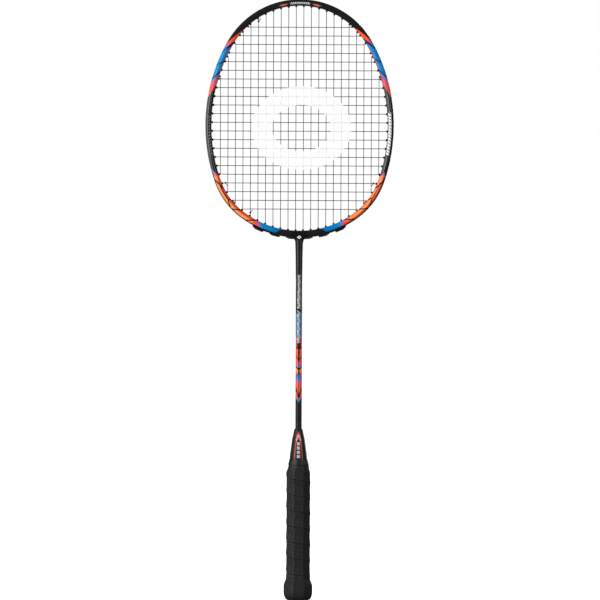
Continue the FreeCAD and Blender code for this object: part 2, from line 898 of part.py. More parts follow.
def make_cone():
    """Thin tapered cap over the top of the handle, with a skirt under the tape."""
    owner = body("cone")
    shaft, skirt, wall = "sizes.shaft_diameter / 2", "sizes.skirt_radius", "sizes.cone_wall"
    bore = f"{shaft} + sizes.running_gap"
    profile = [(bore, "sizes.cone_top")]
    profile += [(f"{shaft} + {step}", f"sizes.cone_top - {drop}") for step, drop in CONE_NOSE + CONE_FLANK]
    profile += [
        (f"{skirt} - sizes.skirt_lead", "sizes.skirt_top + sizes.skirt_blend"),
        (skirt, "sizes.skirt_top"), (skirt, "sizes.core_top"),
        (f"{skirt} - {wall}", "sizes.core_top"), (f"{skirt} - {wall}", "sizes.skirt_top"),
    ]
    for step, drop in reversed(CONE_FLANK):
        profile.append((f"{shaft} + {step} - {wall}", f"sizes.cone_top - {drop}"))
    profile.append((bore, f"sizes.cone_top - {CONE_BORE_LENGTH}"))
    section = draw_polygon(sketch_on(owner, "cone_section", "XZ_Plane"), profile)
    revolve(owner, section, "cone_wall")
    return owner


def make_handle_core():
    """Octagonal wooden core, bored for the shaft and hollowed for the butt cap's plug."""
    owner = body("handle_core")
    base = sketch_on(owner, "core_section", "XY_Plane", "sizes.core_bottom")
    draw_polygon(base, grip_octagon("0", "sizes.wrap_thickness + sizes.running_gap"))
    pad(owner, base, "sizes.core_top - sizes.core_bottom", "core_stick")
    bore = sketch_on(owner, "core_bore_circle", "XY_Plane", "sizes.core_top")
    draw_circle(bore, "sizes.shaft_diameter / 2 + sizes.running_gap")
    cut_down(owner, bore, "sizes.core_top - sizes.shaft_bottom", "shaft_bore")
    hollow = sketch_on(owner, "core_hollow_circle", "XY_Plane", "sizes.core_bottom + sizes.core_hollow_depth")
    draw_circle(hollow, "sizes.core_hollow / 2")
    cut_down(owner, hollow, "sizes.core_hollow_depth", "plug_bore")
    return owner


# heights up the flared butt, and how far its octagon stands out from the grip's
FLARE_STATIONS = (
    ("sizes.wrap_bottom", "sizes.flare_growth - 1.45"),
    ("sizes.wrap_bottom + 2.3", "sizes.flare_growth - 0.6"),
    ("sizes.flare_lowest", "sizes.flare_growth"),
    ("sizes.flare_full", "sizes.flare_growth - 0.15"),
    ("sizes.flare_start", "0"),
)


def make_grip_wrap():
    """Wound grip from the flared butt to the cone's skirt, as one octagonal sleeve."""
    owner = body("grip_wrap")
    stations = FLARE_STATIONS + (("sizes.core_top", "0"),)
    outer, inner = [], []
    for index, (height, growth) in enumerate(stations):
        skin = sketch_on(owner, f"wrap_outside_{index}", "XY_Plane", height)
        outer.append(draw_polygon(skin, grip_octagon(growth)))
        lining = sketch_on(owner, f"wrap_inside_{index}", "XY_Plane", height)
        inner.append(draw_polygon(lining, grip_octagon(growth, "sizes.wrap_thickness")))
    radius = "(sizes.skirt_radius + 0.1)"
    rim = sketch_on(owner, "wrap_rim", "XY_Plane", "sizes.wrap_top")
    edge = octagon("sizes.rim_half_width", "sizes.rim_half_depth", "sizes.rim_bevel")
    outer.append(draw_polygon(rim, edge))
    mouth = sketch_on(owner, "wrap_mouth", "XY_Plane", "sizes.wrap_top")
    inner.append(draw_polygon(mouth, octagon(radius, radius, f"0.586 * {radius}")))
    loft(owner, "Additive", outer, "wrap_body")
    loft(owner, "Subtractive", inner, "wrap_hollow")
    return owner


def make_finishing_tape():
    """Band of tape that closes the wrap on to the cone's skirt."""
    owner = body("finishing_tape")
    inside, top, bottom = "sizes.skirt_radius + 0.05", "sizes.tape_top", "sizes.wrap_top + 0.05"
    profile = [
        (inside, bottom), ("sizes.skirt_radius + 1.35", bottom),
        ("sizes.skirt_radius + 0.4", f"{top} - 0.3"), ("sizes.skirt_radius + 0.25", top), (inside, top),
    ]
    section = draw_polygon(sketch_on(owner, "tape_section", "XZ_Plane"), profile)
    revolve(owner, section, "tape_band")
    return owner


# the cap's rounded foot, below the flare
FOOT_STATIONS = (
    ("sizes.disc_stand", "-4.7"),
    ("sizes.disc_stand + 2.4", "-2.6"),
    ("sizes.wrap_bottom - 0.1", "sizes.flare_growth - 1.45"),
)


def make_butt_cap():
    """Flared cap under the wooden core, with a plug up into it and a seat for the disc."""
    owner = body("butt_cap")
    sketches = []
    for index, (height, growth) in enumerate(FOOT_STATIONS):
        edge = sketch_on(owner, f"cap_foot_{index}", "XY_Plane", height)
        sketches.append(draw_polygon(edge, grip_octagon(growth)))
    loft(owner, "Additive", sketches, "cap_foot")
    inner = []
    for index, (height, growth) in enumerate(FLARE_STATIONS):
        step = sketch_on(owner, f"cap_step_{index}", "XY_Plane", f"{height} - 0.1" if index == 0 else height)
        inner.append(draw_polygon(step, grip_octagon(growth, "sizes.wrap_thickness + sizes.running_gap")))
    top = sketch_on(owner, "cap_top", "XY_Plane", "sizes.core_bottom")
    inner.append(draw_polygon(top, grip_octagon("0", "sizes.wrap_thickness + sizes.running_gap")))
    loft(owner, "Additive", inner, "cap_flare")
    plug = sketch_on(owner, "cap_plug_circle", "XY_Plane", "sizes.core_bottom")
    draw_circle(plug, "sizes.core_hollow / 2 - sizes.running_gap")
    pad(owner, plug, "sizes.core_hollow_depth - 6", "cap_plug")
    seat = sketch_on(owner, "cap_seat_circle", "XY_Plane", "sizes.disc_thickness")
    draw_circle(seat, "sizes.disc_diameter / 2 + sizes.running_gap")
    cut_down(owner, seat, "sizes.disc_thickness + 1", "disc_seat")
    return owner


def make_butt_disc():
    """Round disc set into the cap, the racket's lowest face."""
    owner = body("butt_disc")
    section = sketch_on(owner, "disc_section", "XY_Plane")
    draw_circle(section, "sizes.disc_diameter / 2")
    pad(owner, section, "sizes.disc_thickness", "disc_plate")
    return owner


# ---------------------------------------------------------------- assembly

def build_racket():
    """Add every sub-part to the document."""
    drills = frame_drills()
    sketched = [
        make_shaft(), make_cone(), make_handle_core(), make_grip_wrap(),
        make_finishing_tape(), make_butt_cap(), make_butt_disc(),
    ]
    DOC.recompute()
    feature("head_frame", build_head_frame(drills))
    feature("tee_joint", build_tee(drills))
    feature("throat_fairing", build_throat_fairing(drills, sketched[0].Shape))
    make_grommets()
    feature("main_string", string_solid("main string", main_route()))
    feature("cross_string", string_solid("cross string", cross_route()))
    for label, (anchor, y, tail) in KNOTS.items():
        feature(label, build_knot(anchor, y, tail))


def check_and_export():
    """Stop on any failed object or shape, then write one STEP file a sub-part."""
    DOC.recompute()
    for item in DOC.Objects:
        if {"Invalid", "Error"} & set(item.State):
            raise RuntimeError(f"{item.Name} failed: {item.State}")
    parts = [item for item in DOC.Objects if item.TypeId in ("PartDesign::Body", "Part::Feature")]
    for item in parts:
        if item.Shape.isNull() or not item.Shape.isValid():
            raise RuntimeError(f"{item.Label} has no valid shape")
    os.makedirs("parts", exist_ok=True)
    for item in parts:
        item.Shape.exportStep(f"parts/{item.Label}.step")
        print(f"{item.Label}: {len(item.Shape.Solids)} solid, {item.Shape.Volume:.0f} mm3")


build_racket()
check_and_export()
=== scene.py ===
"""Looks of a badminton racket: lacquered head, woven strings, shaft, cone and wound grip.

Sizes are in millimetres until a mesh is made.  +Z runs up the racket from the butt, the
string bed lies in the XZ plane and the face towards -Y is the front.
"""

import logging
import math
from collections.abc import Sequence
from dataclasses import dataclass, field
from enum import Enum

import bmesh
import bpy
import numpy as np
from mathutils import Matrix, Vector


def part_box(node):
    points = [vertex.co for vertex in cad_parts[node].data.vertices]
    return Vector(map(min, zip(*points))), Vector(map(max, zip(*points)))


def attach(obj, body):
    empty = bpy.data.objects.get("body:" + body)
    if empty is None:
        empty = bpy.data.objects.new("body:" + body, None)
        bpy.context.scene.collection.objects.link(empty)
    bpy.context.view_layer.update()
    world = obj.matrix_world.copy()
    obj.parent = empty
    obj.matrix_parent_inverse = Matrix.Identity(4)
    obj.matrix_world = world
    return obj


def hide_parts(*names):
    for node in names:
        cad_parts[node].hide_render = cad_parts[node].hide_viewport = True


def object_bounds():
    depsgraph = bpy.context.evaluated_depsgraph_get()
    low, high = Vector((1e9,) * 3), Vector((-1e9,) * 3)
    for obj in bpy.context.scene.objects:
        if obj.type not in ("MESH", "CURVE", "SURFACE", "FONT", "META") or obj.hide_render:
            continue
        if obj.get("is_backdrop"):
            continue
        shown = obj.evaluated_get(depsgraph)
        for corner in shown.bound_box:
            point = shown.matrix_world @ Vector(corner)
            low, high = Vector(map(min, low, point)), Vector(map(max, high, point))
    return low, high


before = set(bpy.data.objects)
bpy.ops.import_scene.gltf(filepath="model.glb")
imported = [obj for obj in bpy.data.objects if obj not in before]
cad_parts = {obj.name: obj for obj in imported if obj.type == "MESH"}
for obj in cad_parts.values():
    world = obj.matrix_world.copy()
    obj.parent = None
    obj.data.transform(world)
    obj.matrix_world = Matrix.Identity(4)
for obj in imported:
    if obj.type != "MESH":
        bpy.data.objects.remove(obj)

MM = 0.001
TURN = 2 * math.pi
SHARP = math.radians(42.0)
WELD = 2e-6
SLACK = 1e-9
BODY = "root"
log = logging.getLogger("racket")


# ---------------------------------------------------------------- numbers and curves

def smooth(values: np.ndarray, low: float, high: float) -> np.ndarray:
    """Smooth step: 3k^2 - 2k^3 of the share k of the way from low to high, kept in 0..1."""
    share = np.clip((values - low) / (high - low), 0.0, 1.0)
    return share * share * (3 - 2 * share)


def unit(vectors: np.ndarray) -> np.ndarray:
    """Each vector over its own length."""
    return vectors / np.linalg.norm(vectors, axis=-1, keepdims=True)


def rounded_polygon(corners: Sequence[tuple[float, float]], radii: Sequence[float],
                    steps: int = 5) -> np.ndarray:
    """Closed outline whose corners are turned into arcs.

    At a corner with unit edges a and b and half angle h, the arc of radius r has its centre
    r / sin(h) along a + b, and its points turn evenly from one tangent point to the other.

    Args:
        corners: Corner points in order.
        radii: Radius at each corner.
        steps: Points on each arc.

    Returns:
        Array of points, one row each.
    """
    here = np.array(corners, float)
    back = unit(np.roll(here, 1, axis=0) - here)
    ahead = unit(np.roll(here, -1, axis=0) - here)
    half = np.arccos(np.clip((back * ahead).sum(axis=1), -1, 1)) / 2
    radius = np.array(radii, float)
    centre = here + unit(back + ahead) * (radius / np.sin(half))[:, None]
    reach = (radius / np.tan(half))[:, None]
    start = unit(here + back * reach - centre)
    end = unit(here + ahead * reach - centre)
    sweep = (math.pi - 2 * half)[:, None, None]
    share = np.linspace(0, 1, steps)[None, :, None]
    turned = (np.sin((1 - share) * sweep) * start[:, None] + np.sin(share * sweep) * end[:, None])
    arcs = centre[:, None] + radius[:, None, None] * turned / np.sin(sweep)
    return arcs.reshape(-1, 2)


def resampled(outline: np.ndarray, shares: np.ndarray) -> np.ndarray:
    """Points of a closed outline, found between its corners by length.

    Args:
        outline: The corners in order.
        shares: Shares 0..1 of the way round.

    Returns:
        Array of points, one row each.
    """
    closed = np.vstack([outline, outline[:1]])
    run = np.concatenate([[0.0], np.cumsum(np.linalg.norm(np.diff(closed, axis=0), axis=1))])
    along = (shares % 1.0) * run[-1]
    return np.stack([np.interp(along, run, closed[:, axis]) for axis in range(2)], axis=-1)


def flowing(stations: Sequence[tuple[float, float]], steps: int) -> np.ndarray:
    """Smooth curve through stations: the Catmull-Rom cubic of each four in a row.

    Args:
        stations: Points on the curve, in order.
        steps: Points from one station to the next.

    Returns:
        Array of points, one row each.
    """
    points = np.array(stations, float)
    padded = np.vstack([2 * points[0] - points[1], points, 2 * points[-1] - points[-2]])
    share = np.linspace(0, 1, steps, endpoint=False)[None, :, None]
    p0, p1, p2, p3 = (padded[i:len(padded) - 3 + i][:, None] for i in range(4))
    curve = 0.5 * (2 * p1 + (p2 - p0) * share + (2 * p0 - 5 * p1 + 4 * p2 - p3) * share ** 2
                   + (3 * p1 - p0 - 3 * p2 + p3) * share ** 3)
    return np.vstack([curve.reshape(-1, 2), points[-1:]])


# ---------------------------------------------------------------- meshes

@dataclass
class Surface:
    """A surface worked out on a grid, before it becomes a mesh.

    Attributes:
        points: Rows of columns of points, in millimetres.
        closed: Whether the last column joins the first.
        row_shift: How many rows lower the last column joins the first.
        capped: Whether the first and the last row are filled in.
        uv: Coordinates with one column more than points where the columns close.
        marks: Named numbers at each point, for the materials.
    """

    points: np.ndarray
    closed: bool = True
    row_shift: int = 0
    capped: bool = False
    uv: np.ndarray | None = None
    marks: dict[str, np.ndarray] = field(default_factory=dict)

    def quads(self) -> np.ndarray:
        """Corner numbers of each grid cell."""
        rows, columns = self.points.shape[:2]
        ids = np.arange(rows * columns).reshape(rows, columns)
        if self.closed:
            seam = ids[:, :1]
            if self.row_shift:
                ids, seam = ids[self.row_shift:], seam[:-self.row_shift]
            ids = np.concatenate([ids, seam], axis=1)
        cells = [ids[:-1, :-1], ids[:-1, 1:], ids[1:, 1:], ids[1:, :-1]]
        return np.stack(cells, axis=-1).reshape(-1, 4)

    def uv_corners(self) -> np.ndarray:
        """UV of each corner of each grid cell."""
        cells = [self.uv[:-1, :-1], self.uv[:-1, 1:], self.uv[1:, 1:], self.uv[1:, :-1]]
        return np.stack(cells, axis=2).reshape(-1, 2)


@dataclass(frozen=True)
class Piece:
    """Makes surfaces into one visible piece that rides on the racket.

    Attributes:
        name: The piece's name.
        replaces: Names of the frame's nodes that it stands for.
        slot: Name of a material slot; not used.
    """

    name: str
    replaces: Sequence[str]
    slot: str

    def make(self, surfaces: Sequence[Surface], material: bpy.types.Material,
             weld: bool = False) -> None:
        """Join surfaces into one mesh object at the origin and hang it on the frame.

        Args:
            surfaces: The grids.
            material: The finish.
            weld: Whether points that coincide are merged and the faces turned outwards.
        """
        mesh = self._mesh(surfaces)
        if weld:
            self._weld(mesh)
        mesh.polygons.foreach_set("use_smooth", np.ones(len(mesh.polygons), bool))
        mesh.set_sharp_from_angle(angle=SHARP)
        mesh.materials.append(material)
        item = bpy.data.objects.new(self.name, mesh)
        bpy.context.scene.collection.objects.link(item)
        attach(item, BODY)
        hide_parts(*self.replaces)
        log.info("%s: %d faces", self.name, len(mesh.polygons))

    def _mesh(self, surfaces: Sequence[Surface]) -> bpy.types.Mesh:
        """Mesh of the surfaces' points and faces, with their UVs and marks.

        A grid whose volume comes out negative is turned over: the volume is a sixth of the
        sum of a . (b x c) over its triangles.

        Args:
            surfaces: The grids, all with the same marks; those with UVs come first.

        Returns:
            The mesh, in metres.
        """
        points, quads, caps, corners = [], [], [], []
        base = 0
        for surface in surfaces:
            flat = surface.points.reshape(-1, 3)
            cells = surface.quads()
            a, b, c, d = (flat[cells[:, i]] - flat.mean(axis=0) for i in range(4))
            volume = (np.cross(a, b) * c).sum() + (np.cross(a, c) * d).sum()
            turned = volume < 0
            if turned:
                cells = cells[:, ::-1]
            quads.append(cells + base)
            if surface.uv is not None:
                uv = surface.uv_corners().reshape(-1, 4, 2)
                corners.append((uv[:, ::-1] if turned else uv).reshape(-1, 2))
            if surface.capped:
                rows, columns = surface.points.shape[:2]
                first = np.arange(columns) + base
                last = first + (rows - 1) * columns
                caps += [first, last[::-1]] if turned else [first[::-1], last]
            points.append(flat)
            base += len(flat)
        mesh = bpy.data.meshes.new(self.name)
        self._fill(mesh, np.vstack(points) * MM, np.vstack(quads), caps)
        for name in surfaces[0].marks:
            values = np.concatenate([surface.marks[name].ravel() for surface in surfaces])
            mark = mesh.attributes.new(name, "FLOAT", "POINT")
            mark.data.foreach_set("value", values.astype(np.float32))
        if corners:
            uv = np.vstack(corners)
            whole = np.zeros((len(mesh.loops), 2))
            whole[:len(uv)] = uv
            mesh.uv_layers.new(name="run").data.foreach_set("uv", whole.ravel())
        return mesh

    @staticmethod
    def _fill(mesh: bpy.types.Mesh, points: np.ndarray, quads: np.ndarray,
              caps: Sequence[np.ndarray]) -> None:
        """Put points, four-sided faces and end caps into an empty mesh.

        Args:
            mesh: The empty mesh.
            points: Its points in metres.
            quads: Point numbers of each four-sided face.
            caps: Point numbers round each end cap.
        """
        corner_ids = np.concatenate([quads.ravel(), *caps]).astype(np.int32)
        sizes = np.concatenate([np.full(len(quads), 4), [len(cap) for cap in caps]]).astype(np.int32)
        starts = np.concatenate([[0], np.cumsum(sizes)[:-1]]).astype(np.int32)
        mesh.vertices.add(len(points))
        mesh.vertices.foreach_set("co", points.ravel())
        mesh.loops.add(len(corner_ids))
        mesh.loops.foreach_set("vertex_index", corner_ids)
        mesh.polygons.add(len(sizes))
        mesh.polygons.foreach_set("loop_start", starts)
        mesh.update(calc_edges=True)
        mesh.validate()

    @staticmethod
    def _weld(mesh: bpy.types.Mesh) -> None:
        """Merge points that coincide, drop loose points and turn all faces outwards."""
        work = bmesh.new()
        work.from_mesh(mesh)
        loose = [point for point in work.verts if not point.link_faces]
        bmesh.ops.delete(work, geom=loose, context="VERTS")
        bmesh.ops.remove_doubles(work, verts=work.verts, dist=WELD)
        bmesh.ops.dissolve_degenerate(work, edges=work.edges, dist=WELD)
        bmesh.ops.recalc_face_normals(work, faces=work.faces)
        work.to_mesh(mesh)
        work.free()


def turned_profile(profile: np.ndarray, columns: int) -> Surface:
    """Surface of revolution: the point (r, z) goes to (r sin a, -r cos a, z) for each angle a.

    Args:
        profile: Points (r, z) in order.
        columns: How many angles, evenly round the axis.

    Returns:
        The grid, with a row for each point of the profile.
    """
    angle = np.linspace(0, TURN, columns, endpoint=False)
    r, z = profile[:, :1], profile[:, 1:]
    return Surface(np.stack([r * np.sin(angle), -r * np.cos(angle), z + 0 * angle], axis=-1))


# ---------------------------------------------------------------- shader maths

class Wire:
    """A node's output whose arithmetic adds Math nodes."""

    def __init__(self, graph: "Graph", socket: bpy.types.NodeSocket) -> None:
        """Wrap one output socket of a graph."""
        self.graph, self.socket = graph, socket

    def __add__(self, other: "Wire | float") -> "Wire":
        """Sum."""
        return self.graph.maths("ADD", self, other)

    __radd__ = __add__

    def __sub__(self, other: "Wire | float") -> "Wire":
        """Difference."""
        return self.graph.maths("SUBTRACT", self, other)

    def __rsub__(self, other: float) -> "Wire":
        """Difference, the number first."""
        return self.graph.maths("SUBTRACT", other, self)

    def __mul__(self, other: "Wire | float") -> "Wire":
        """Product."""
        return self.graph.maths("MULTIPLY", self, other)

    __rmul__ = __mul__

    def __truediv__(self, other: "Wire | float") -> "Wire":
        """Quotient."""
        return self.graph.maths("DIVIDE", self, other)

    def __abs__(self) -> "Wire":
        """Absolute value."""
        return self.graph.maths("ABSOLUTE", self)

    def __or__(self, other: "Wire") -> "Wire":
        """Either mask: the greater."""
        return self.graph.maths("MAXIMUM", self, other)

    def __and__(self, other: "Wire") -> "Wire":
        """Both masks: the lesser."""
        return self.graph.maths("MINIMUM", self, other)

    def fraction(self) -> "Wire":
        """What is left after the whole number is taken off."""
        return self.graph.maths("FRACT", self)

    def above(self, edge: "Wire | float", soft: float = 0.2) -> "Wire":
        """Mask that rises from 0 to 1 over a soft width at an edge."""
        return self.graph.maths("ADD", (self - edge) / soft, 0.5, clamp=True)

    def below(self, edge: "Wire | float", soft: float = 0.2) -> "Wire":
        """Mask that falls from 1 to 0 over a soft width at an edge."""
        return self.graph.maths("SUBTRACT", 0.5, (self - edge) / soft, clamp=True)

    def between(self, low: "Wire | float", high: "Wire | float", soft: float = 0.2) -> "Wire":
        """Mask that is 1 from low to high."""
        return self.above(low, soft) & self.below(high, soft)


Colour = tuple[float, float, float]
Value = Wire | float | Colour


def srgb(red: int, green: int, blue: int) -> Colour:
    """Linear colour of a display colour in 0..255."""
    shares = [value / 255 for value in (red, green, blue)]
    return tuple(v / 12.92 if v <= 0.04045 else ((v + 0.055) / 1.055) ** 2.4 for v in shares)


class Graph:
    """One material and its nodes."""

    def __init__(self, name: str) -> None:
        """Start a material with a Principled shader and nothing else."""
        self.material = bpy.data.materials.new(name)
        self.material.use_nodes = True
        self.tree = self.material.node_tree
        self.tree.nodes.clear()
        self.shader = self.tree.nodes.new("ShaderNodeBsdfPrincipled")
        output = self.tree.nodes.new("ShaderNodeOutputMaterial")
        self.tree.links.new(self.shader.outputs["BSDF"], output.inputs["Surface"])

    def node(self, kind: str, settings: dict[str, object] | None = None,
             inputs: dict[str | int, Value] | None = None) -> bpy.types.Node:
        """Add any node.

        Args:
            kind: The node's type.
            settings: Its settings, set first; stops are a ramp's (position, colour) pairs.
            inputs: Values or wires of its sockets, by name or number.

        Returns:
            The node.
        """
        item = self.tree.nodes.new(kind)
        for key, value in (settings or {}).items():
            if key == "stops":
                self._set_stops(item.color_ramp, value)
            else:
                setattr(item, key, value)
        for key, value in (inputs or {}).items():
            self.feed(item.inputs[key], value)
        return item

    @staticmethod
    def _set_stops(ramp: bpy.types.ColorRamp, stops: Sequence[tuple[float, Colour]]) -> None:
        """Give a colour ramp its stops."""
        while len(ramp.elements) < len(stops):
            ramp.elements.new(1.0)
        for element, (position, colour) in zip(ramp.elements, stops):
            element.position = position
            element.color = (*colour, 1.0)

    def feed(self, socket: bpy.types.NodeSocket, value: Value) -> None:
        """Link a wire to a socket, or set the socket's own value."""
        if isinstance(value, Wire):
            self.tree.links.new(value.socket, socket)
        elif isinstance(value, tuple) and socket.type == "RGBA":
            socket.default_value = (*value, 1.0)
        else:
            socket.default_value = value

    def maths(self, operation: str, *values: Wire | float, clamp: bool = False) -> Wire:
        """Add one Math node.

        Args:
            operation: The node's operation.
            values: What it works on, in order.
            clamp: Whether the result is kept in 0..1.

        Returns:
            The result.
        """
        settings = {"operation": operation, "use_clamp": clamp}
        item = self.node("ShaderNodeMath", settings, dict(enumerate(values)))
        return Wire(self, item.outputs[0])

    def mix(self, share: Wire | float, first: Value, second: Value) -> Wire:
        """Mix two colours.

        Args:
            share: How much of the second is taken.
            first: The colour at 0.
            second: The colour at 1.

        Returns:
            The mixed colour.
        """
        inputs = {"Factor": share, 6: first, 7: second}
        item = self.node("ShaderNodeMix", {"data_type": "RGBA"}, inputs)
        return Wire(self, item.outputs[2])

    def ramp(self, value: Wire, low: float, high: float,
             stops: Sequence[tuple[float, Colour]]) -> Wire:
        """Colour of a value.

        Args:
            value: What the colour depends on.
            low: The value at the ramp's start.
            high: The value at its end.
            stops: Pairs of a value and its colour, rising.

        Returns:
            The colour.
        """
        placed = [((at - low) / (high - low), colour) for at, colour in stops]
        share = (value - low) / (high - low)
        return Wire(self, self.node("ShaderNodeValToRGB", {"stops": placed}, {0: share}).outputs[0])

    def place(self) -> tuple[Wire, Wire, Wire]:
        """Object coordinates in millimetres."""
        source = self.node("ShaderNodeTexCoord").outputs["Object"]
        split = self.node("ShaderNodeSeparateXYZ", inputs={0: Wire(self, source)})
        return tuple(Wire(self, split.outputs[axis]) / MM for axis in range(3))

    def mark(self, name: str) -> Wire:
        """A number that the mesh carries at each point."""
        return Wire(self, self.node("ShaderNodeAttribute", {"attribute_name": name}).outputs["Fac"])

    def noise(self, size: float, detail: float = 2.0, stretch: Colour = (1, 1, 1)) -> Wire:
        """Noise in 0..1.

        Args:
            size: About how large its features are, in millimetres.
            detail: How many finer layers are added.
            stretch: Scale of the noise along each axis.

        Returns:
            The noise.
        """
        source = Wire(self, self.node("ShaderNodeTexCoord").outputs["Object"])
        mapping = self.node("ShaderNodeMapping", inputs={"Vector": source, "Scale": stretch})
        inputs = {"Vector": Wire(self, mapping.outputs[0]), "Scale": 1 / (size * MM), "Detail": detail}
        return Wire(self, self.node("ShaderNodeTexNoise", inputs=inputs).outputs[0])

    def bump(self, height: Wire, depth: float, strength: float = 1.0) -> Wire:
        """Normal bent by a height of 0..1 that stands for a depth in millimetres."""
        inputs = {"Strength": strength, "Distance": depth * MM, "Height": height}
        return Wire(self, self.node("ShaderNodeBump", inputs=inputs).outputs[0])

    def dress(self, **sockets: Value) -> bpy.types.Material:
        """Feed the shader's sockets, named with underscores for spaces, and give the material."""
        for name, value in sockets.items():
            self.feed(self.shader.inputs[name.replace("_", " ")], value)
        return self.material


# ---------------------------------------------------------------- paint

BLACK = srgb(17, 17, 18)
BRIGHT_BLUE = srgb(0, 134, 202)
DEEP_BLUE = srgb(0, 104, 180)
VIOLET = srgb(122, 112, 186)
PINK = srgb(236, 88, 108)
CORAL = srgb(248, 80, 60)
# Red of the painted shade on the lower quarter's panel.
PAINTED_SHADE_RED = srgb(226, 56, 38)
ORANGE = srgb(255, 92, 40)
AMBER = srgb(255, 162, 90)
WHITE = srgb(232, 234, 236)
SILVER = srgb(236, 238, 240)


@dataclass(frozen=True)
class HeadLacquer:
    """Black lacquer with flame panels that fade from orange to blue.

    The mesh carries along, the run round the outline from the crown (right side positive),
    and depth, the distance inwards from the outline, both in millimetres.
    """

    crack: float = 0.62
    bar_pitch: float = 3.5
    tube_middle: float = 3.5
    fade_slant: float = 0.8

    def build(self) -> bpy.types.Material:
        """Make the material."""
        graph = Graph("head_lacquer")
        along, depth = graph.mark("along"), graph.mark("depth")
        run = abs(along)
        side = along.above(0.0, 1.0) * 2 - 1
        upper, lower = run.below(137.5, 55.0), run.above(305.0, 100.0)
        lined_up = run + side * (upper + lower) * 2.2
        shoulder = self._shoulder(graph, lined_up, depth)
        quarter = self._quarter(graph, lined_up, depth, along.above(0.0, 1.0))
        colour = graph.mix(run.above(205.0, 2.0), *(panel[0] for panel in (shoulder, quarter)))
        painted = shoulder[1] | quarter[1]
        panels = shoulder[2] | quarter[2]
        colour = graph.mix(painted, self._black(graph, run, depth), colour)
        colour = self._crown(graph, run, depth, colour)
        colour = self._words(graph, run, along, depth, colour)
        flakes = graph.noise(0.35, 3.0)
        rough = 0.2 + painted * 0.1 + flakes * 0.06
        coat = 1.0 - panels * 0.85
        peel = graph.bump(graph.noise(2.4, 2.0), 0.012)
        return graph.dress(Base_Color=colour, Roughness=rough, Specular_IOR_Level=0.15,
                           Coat_Weight=coat, Coat_Roughness=0.06, Normal=peel)

    @staticmethod
    def _black(graph: Graph, run: Wire, depth: Wire) -> Wire:
        """Black clear-coated carbon with a faint slanted lay of fibres."""
        lay = (run * 0.9 + depth * 0.8).fraction().between(0.15, 0.6, 0.3)
        return graph.mix(lay * graph.noise(6.0), BLACK, srgb(32, 33, 35))

    def _slanted(self, run: Wire, depth: Wire) -> Wire:
        """Run along the outline on which the panels' colours are laid, slanted across the tube."""
        return run + (depth - self.tube_middle) * self.fade_slant

    def _line(self, run: Wire, depth: Wire, slope: float, at: float, half: float = 0.0,
              spread: float = 0.0) -> Wire:
        """Mask of a slanted crack: |run + slope * depth - at| under a half width.

        Args:
            run: Length along the outline.
            depth: Distance inwards.
            slope: How fast the crack's place falls with depth.
            at: Its place at no depth.
            half: Half width along the run, or 0 for the usual crack.
            spread: How much the half width grows with depth.

        Returns:
            The mask.
        """
        width = (half or self.crack * math.hypot(1, slope)) + depth * spread
        return abs(run + depth * slope - at).below(width, 0.35)

    def _shoulder(self, graph: Graph, run: Wire, depth: Wire) -> tuple[Wire, ...]:
        """Colour, mask and whole outline of the panel on the shoulder."""
        stops = [(93, ORANGE), (98, PINK), (101.5, VIOLET), (104.5, BRIGHT_BLUE),
                 (138, BRIGHT_BLUE), (142, VIOLET), (148, PINK), (156, CORAL), (164, AMBER)]
        colour = graph.ramp(self._slanted(run, depth), 80.0, 170.0, stops)
        edging = depth.above(6.25, 0.15) & run.between(103.0, 146.0)
        colour = graph.mix(edging, colour, srgb(214, 44, 52))
        panel = (run + depth * 4.2).above(103.6) & (run + depth * 2.55).below(166.4)
        cracks = (self._line(run, depth, 2.26, 110.5, 0.8, 0.4) | self._line(run, depth, 1.15, 126.8)
                  | self._line(run, depth, 1.76, 144.0))
        return colour, panel * (1 - cracks), panel

    def _quarter(self, graph: Graph, run: Wire, depth: Wire, right: Wire) -> tuple[Wire, ...]:
        """Colour, mask and whole outline of the panel on the lower quarter.

        A painted highlight runs along its middle, on the facet that faces the light: nearer
        the inside on the right and the outside on the left, with red painted shade either side.
        """
        stops = [(246, BRIGHT_BLUE), (249.5, VIOLET), (254, PINK), (258, CORAL), (263, ORANGE),
                 (318, ORANGE), (326, CORAL), (330.5, PINK), (333.5, VIOLET), (336.5, BRIGHT_BLUE),
                 (360, DEEP_BLUE)]
        colour = graph.ramp(self._slanted(run, depth), 240.0, 365.0, stops)
        # Amber painted highlight on the lit facet, red painted shade beside it, stronger on the right.
        middle = 2.4 + right * 2.1
        band = abs(depth - middle).below(1.3, 1.3) & run.between(256.0, 325.0, 5.0)
        painted_shade = abs(depth - middle).above(2.3, 1.0) & run.between(256.0, 326.0, 5.0)
        colour = graph.mix(painted_shade * (right * 0.5 + 0.25), graph.mix(band * 0.9, colour, AMBER), PAINTED_SHADE_RED)
        sliver = depth.above(6.1) & (run.between(299.0, 307.0) | run.between(320.0, 329.0))
        colour = graph.mix(sliver, colour, srgb(70, 110, 160))
        panel = (run - depth * 1.77).above(245.7) & (run - depth * 1.15).below(351.1)
        margin = depth.below(right * run.below(300.0, 30.0) * 0.4 + 0.95) & run.above(250.0, 4.0)
        margin = margin | (depth.below(1.3) & run.above(323.0, 2.0))
        margin = margin | (right & depth.below(2.6) & run.below(254.0, 2.0))
        margin = margin | (depth.above(6.35, 0.1) & (1 - right) & run.between(262.0, 330.0, 2.0))
        lengthwise = abs(depth - 4.1).below(0.6 - right * 0.15) & run.between(264.0, 287.0, 0.6)
        arrow_in = self._line(run, depth, -1.67, 278.2) & depth.above(4.0)
        arrow_out = self._line(run, depth, 2.4, 296.2) & depth.below(4.2)
        cracks = (self._line(run, depth, -2.16, 257.9, 1.75) | lengthwise | arrow_in | arrow_out
                  | self._line(run, depth, -1.35, 296.6) | self._line(run, depth, -1.75, 315.8))
        return colour, panel * (1 - (cracks | margin)), panel

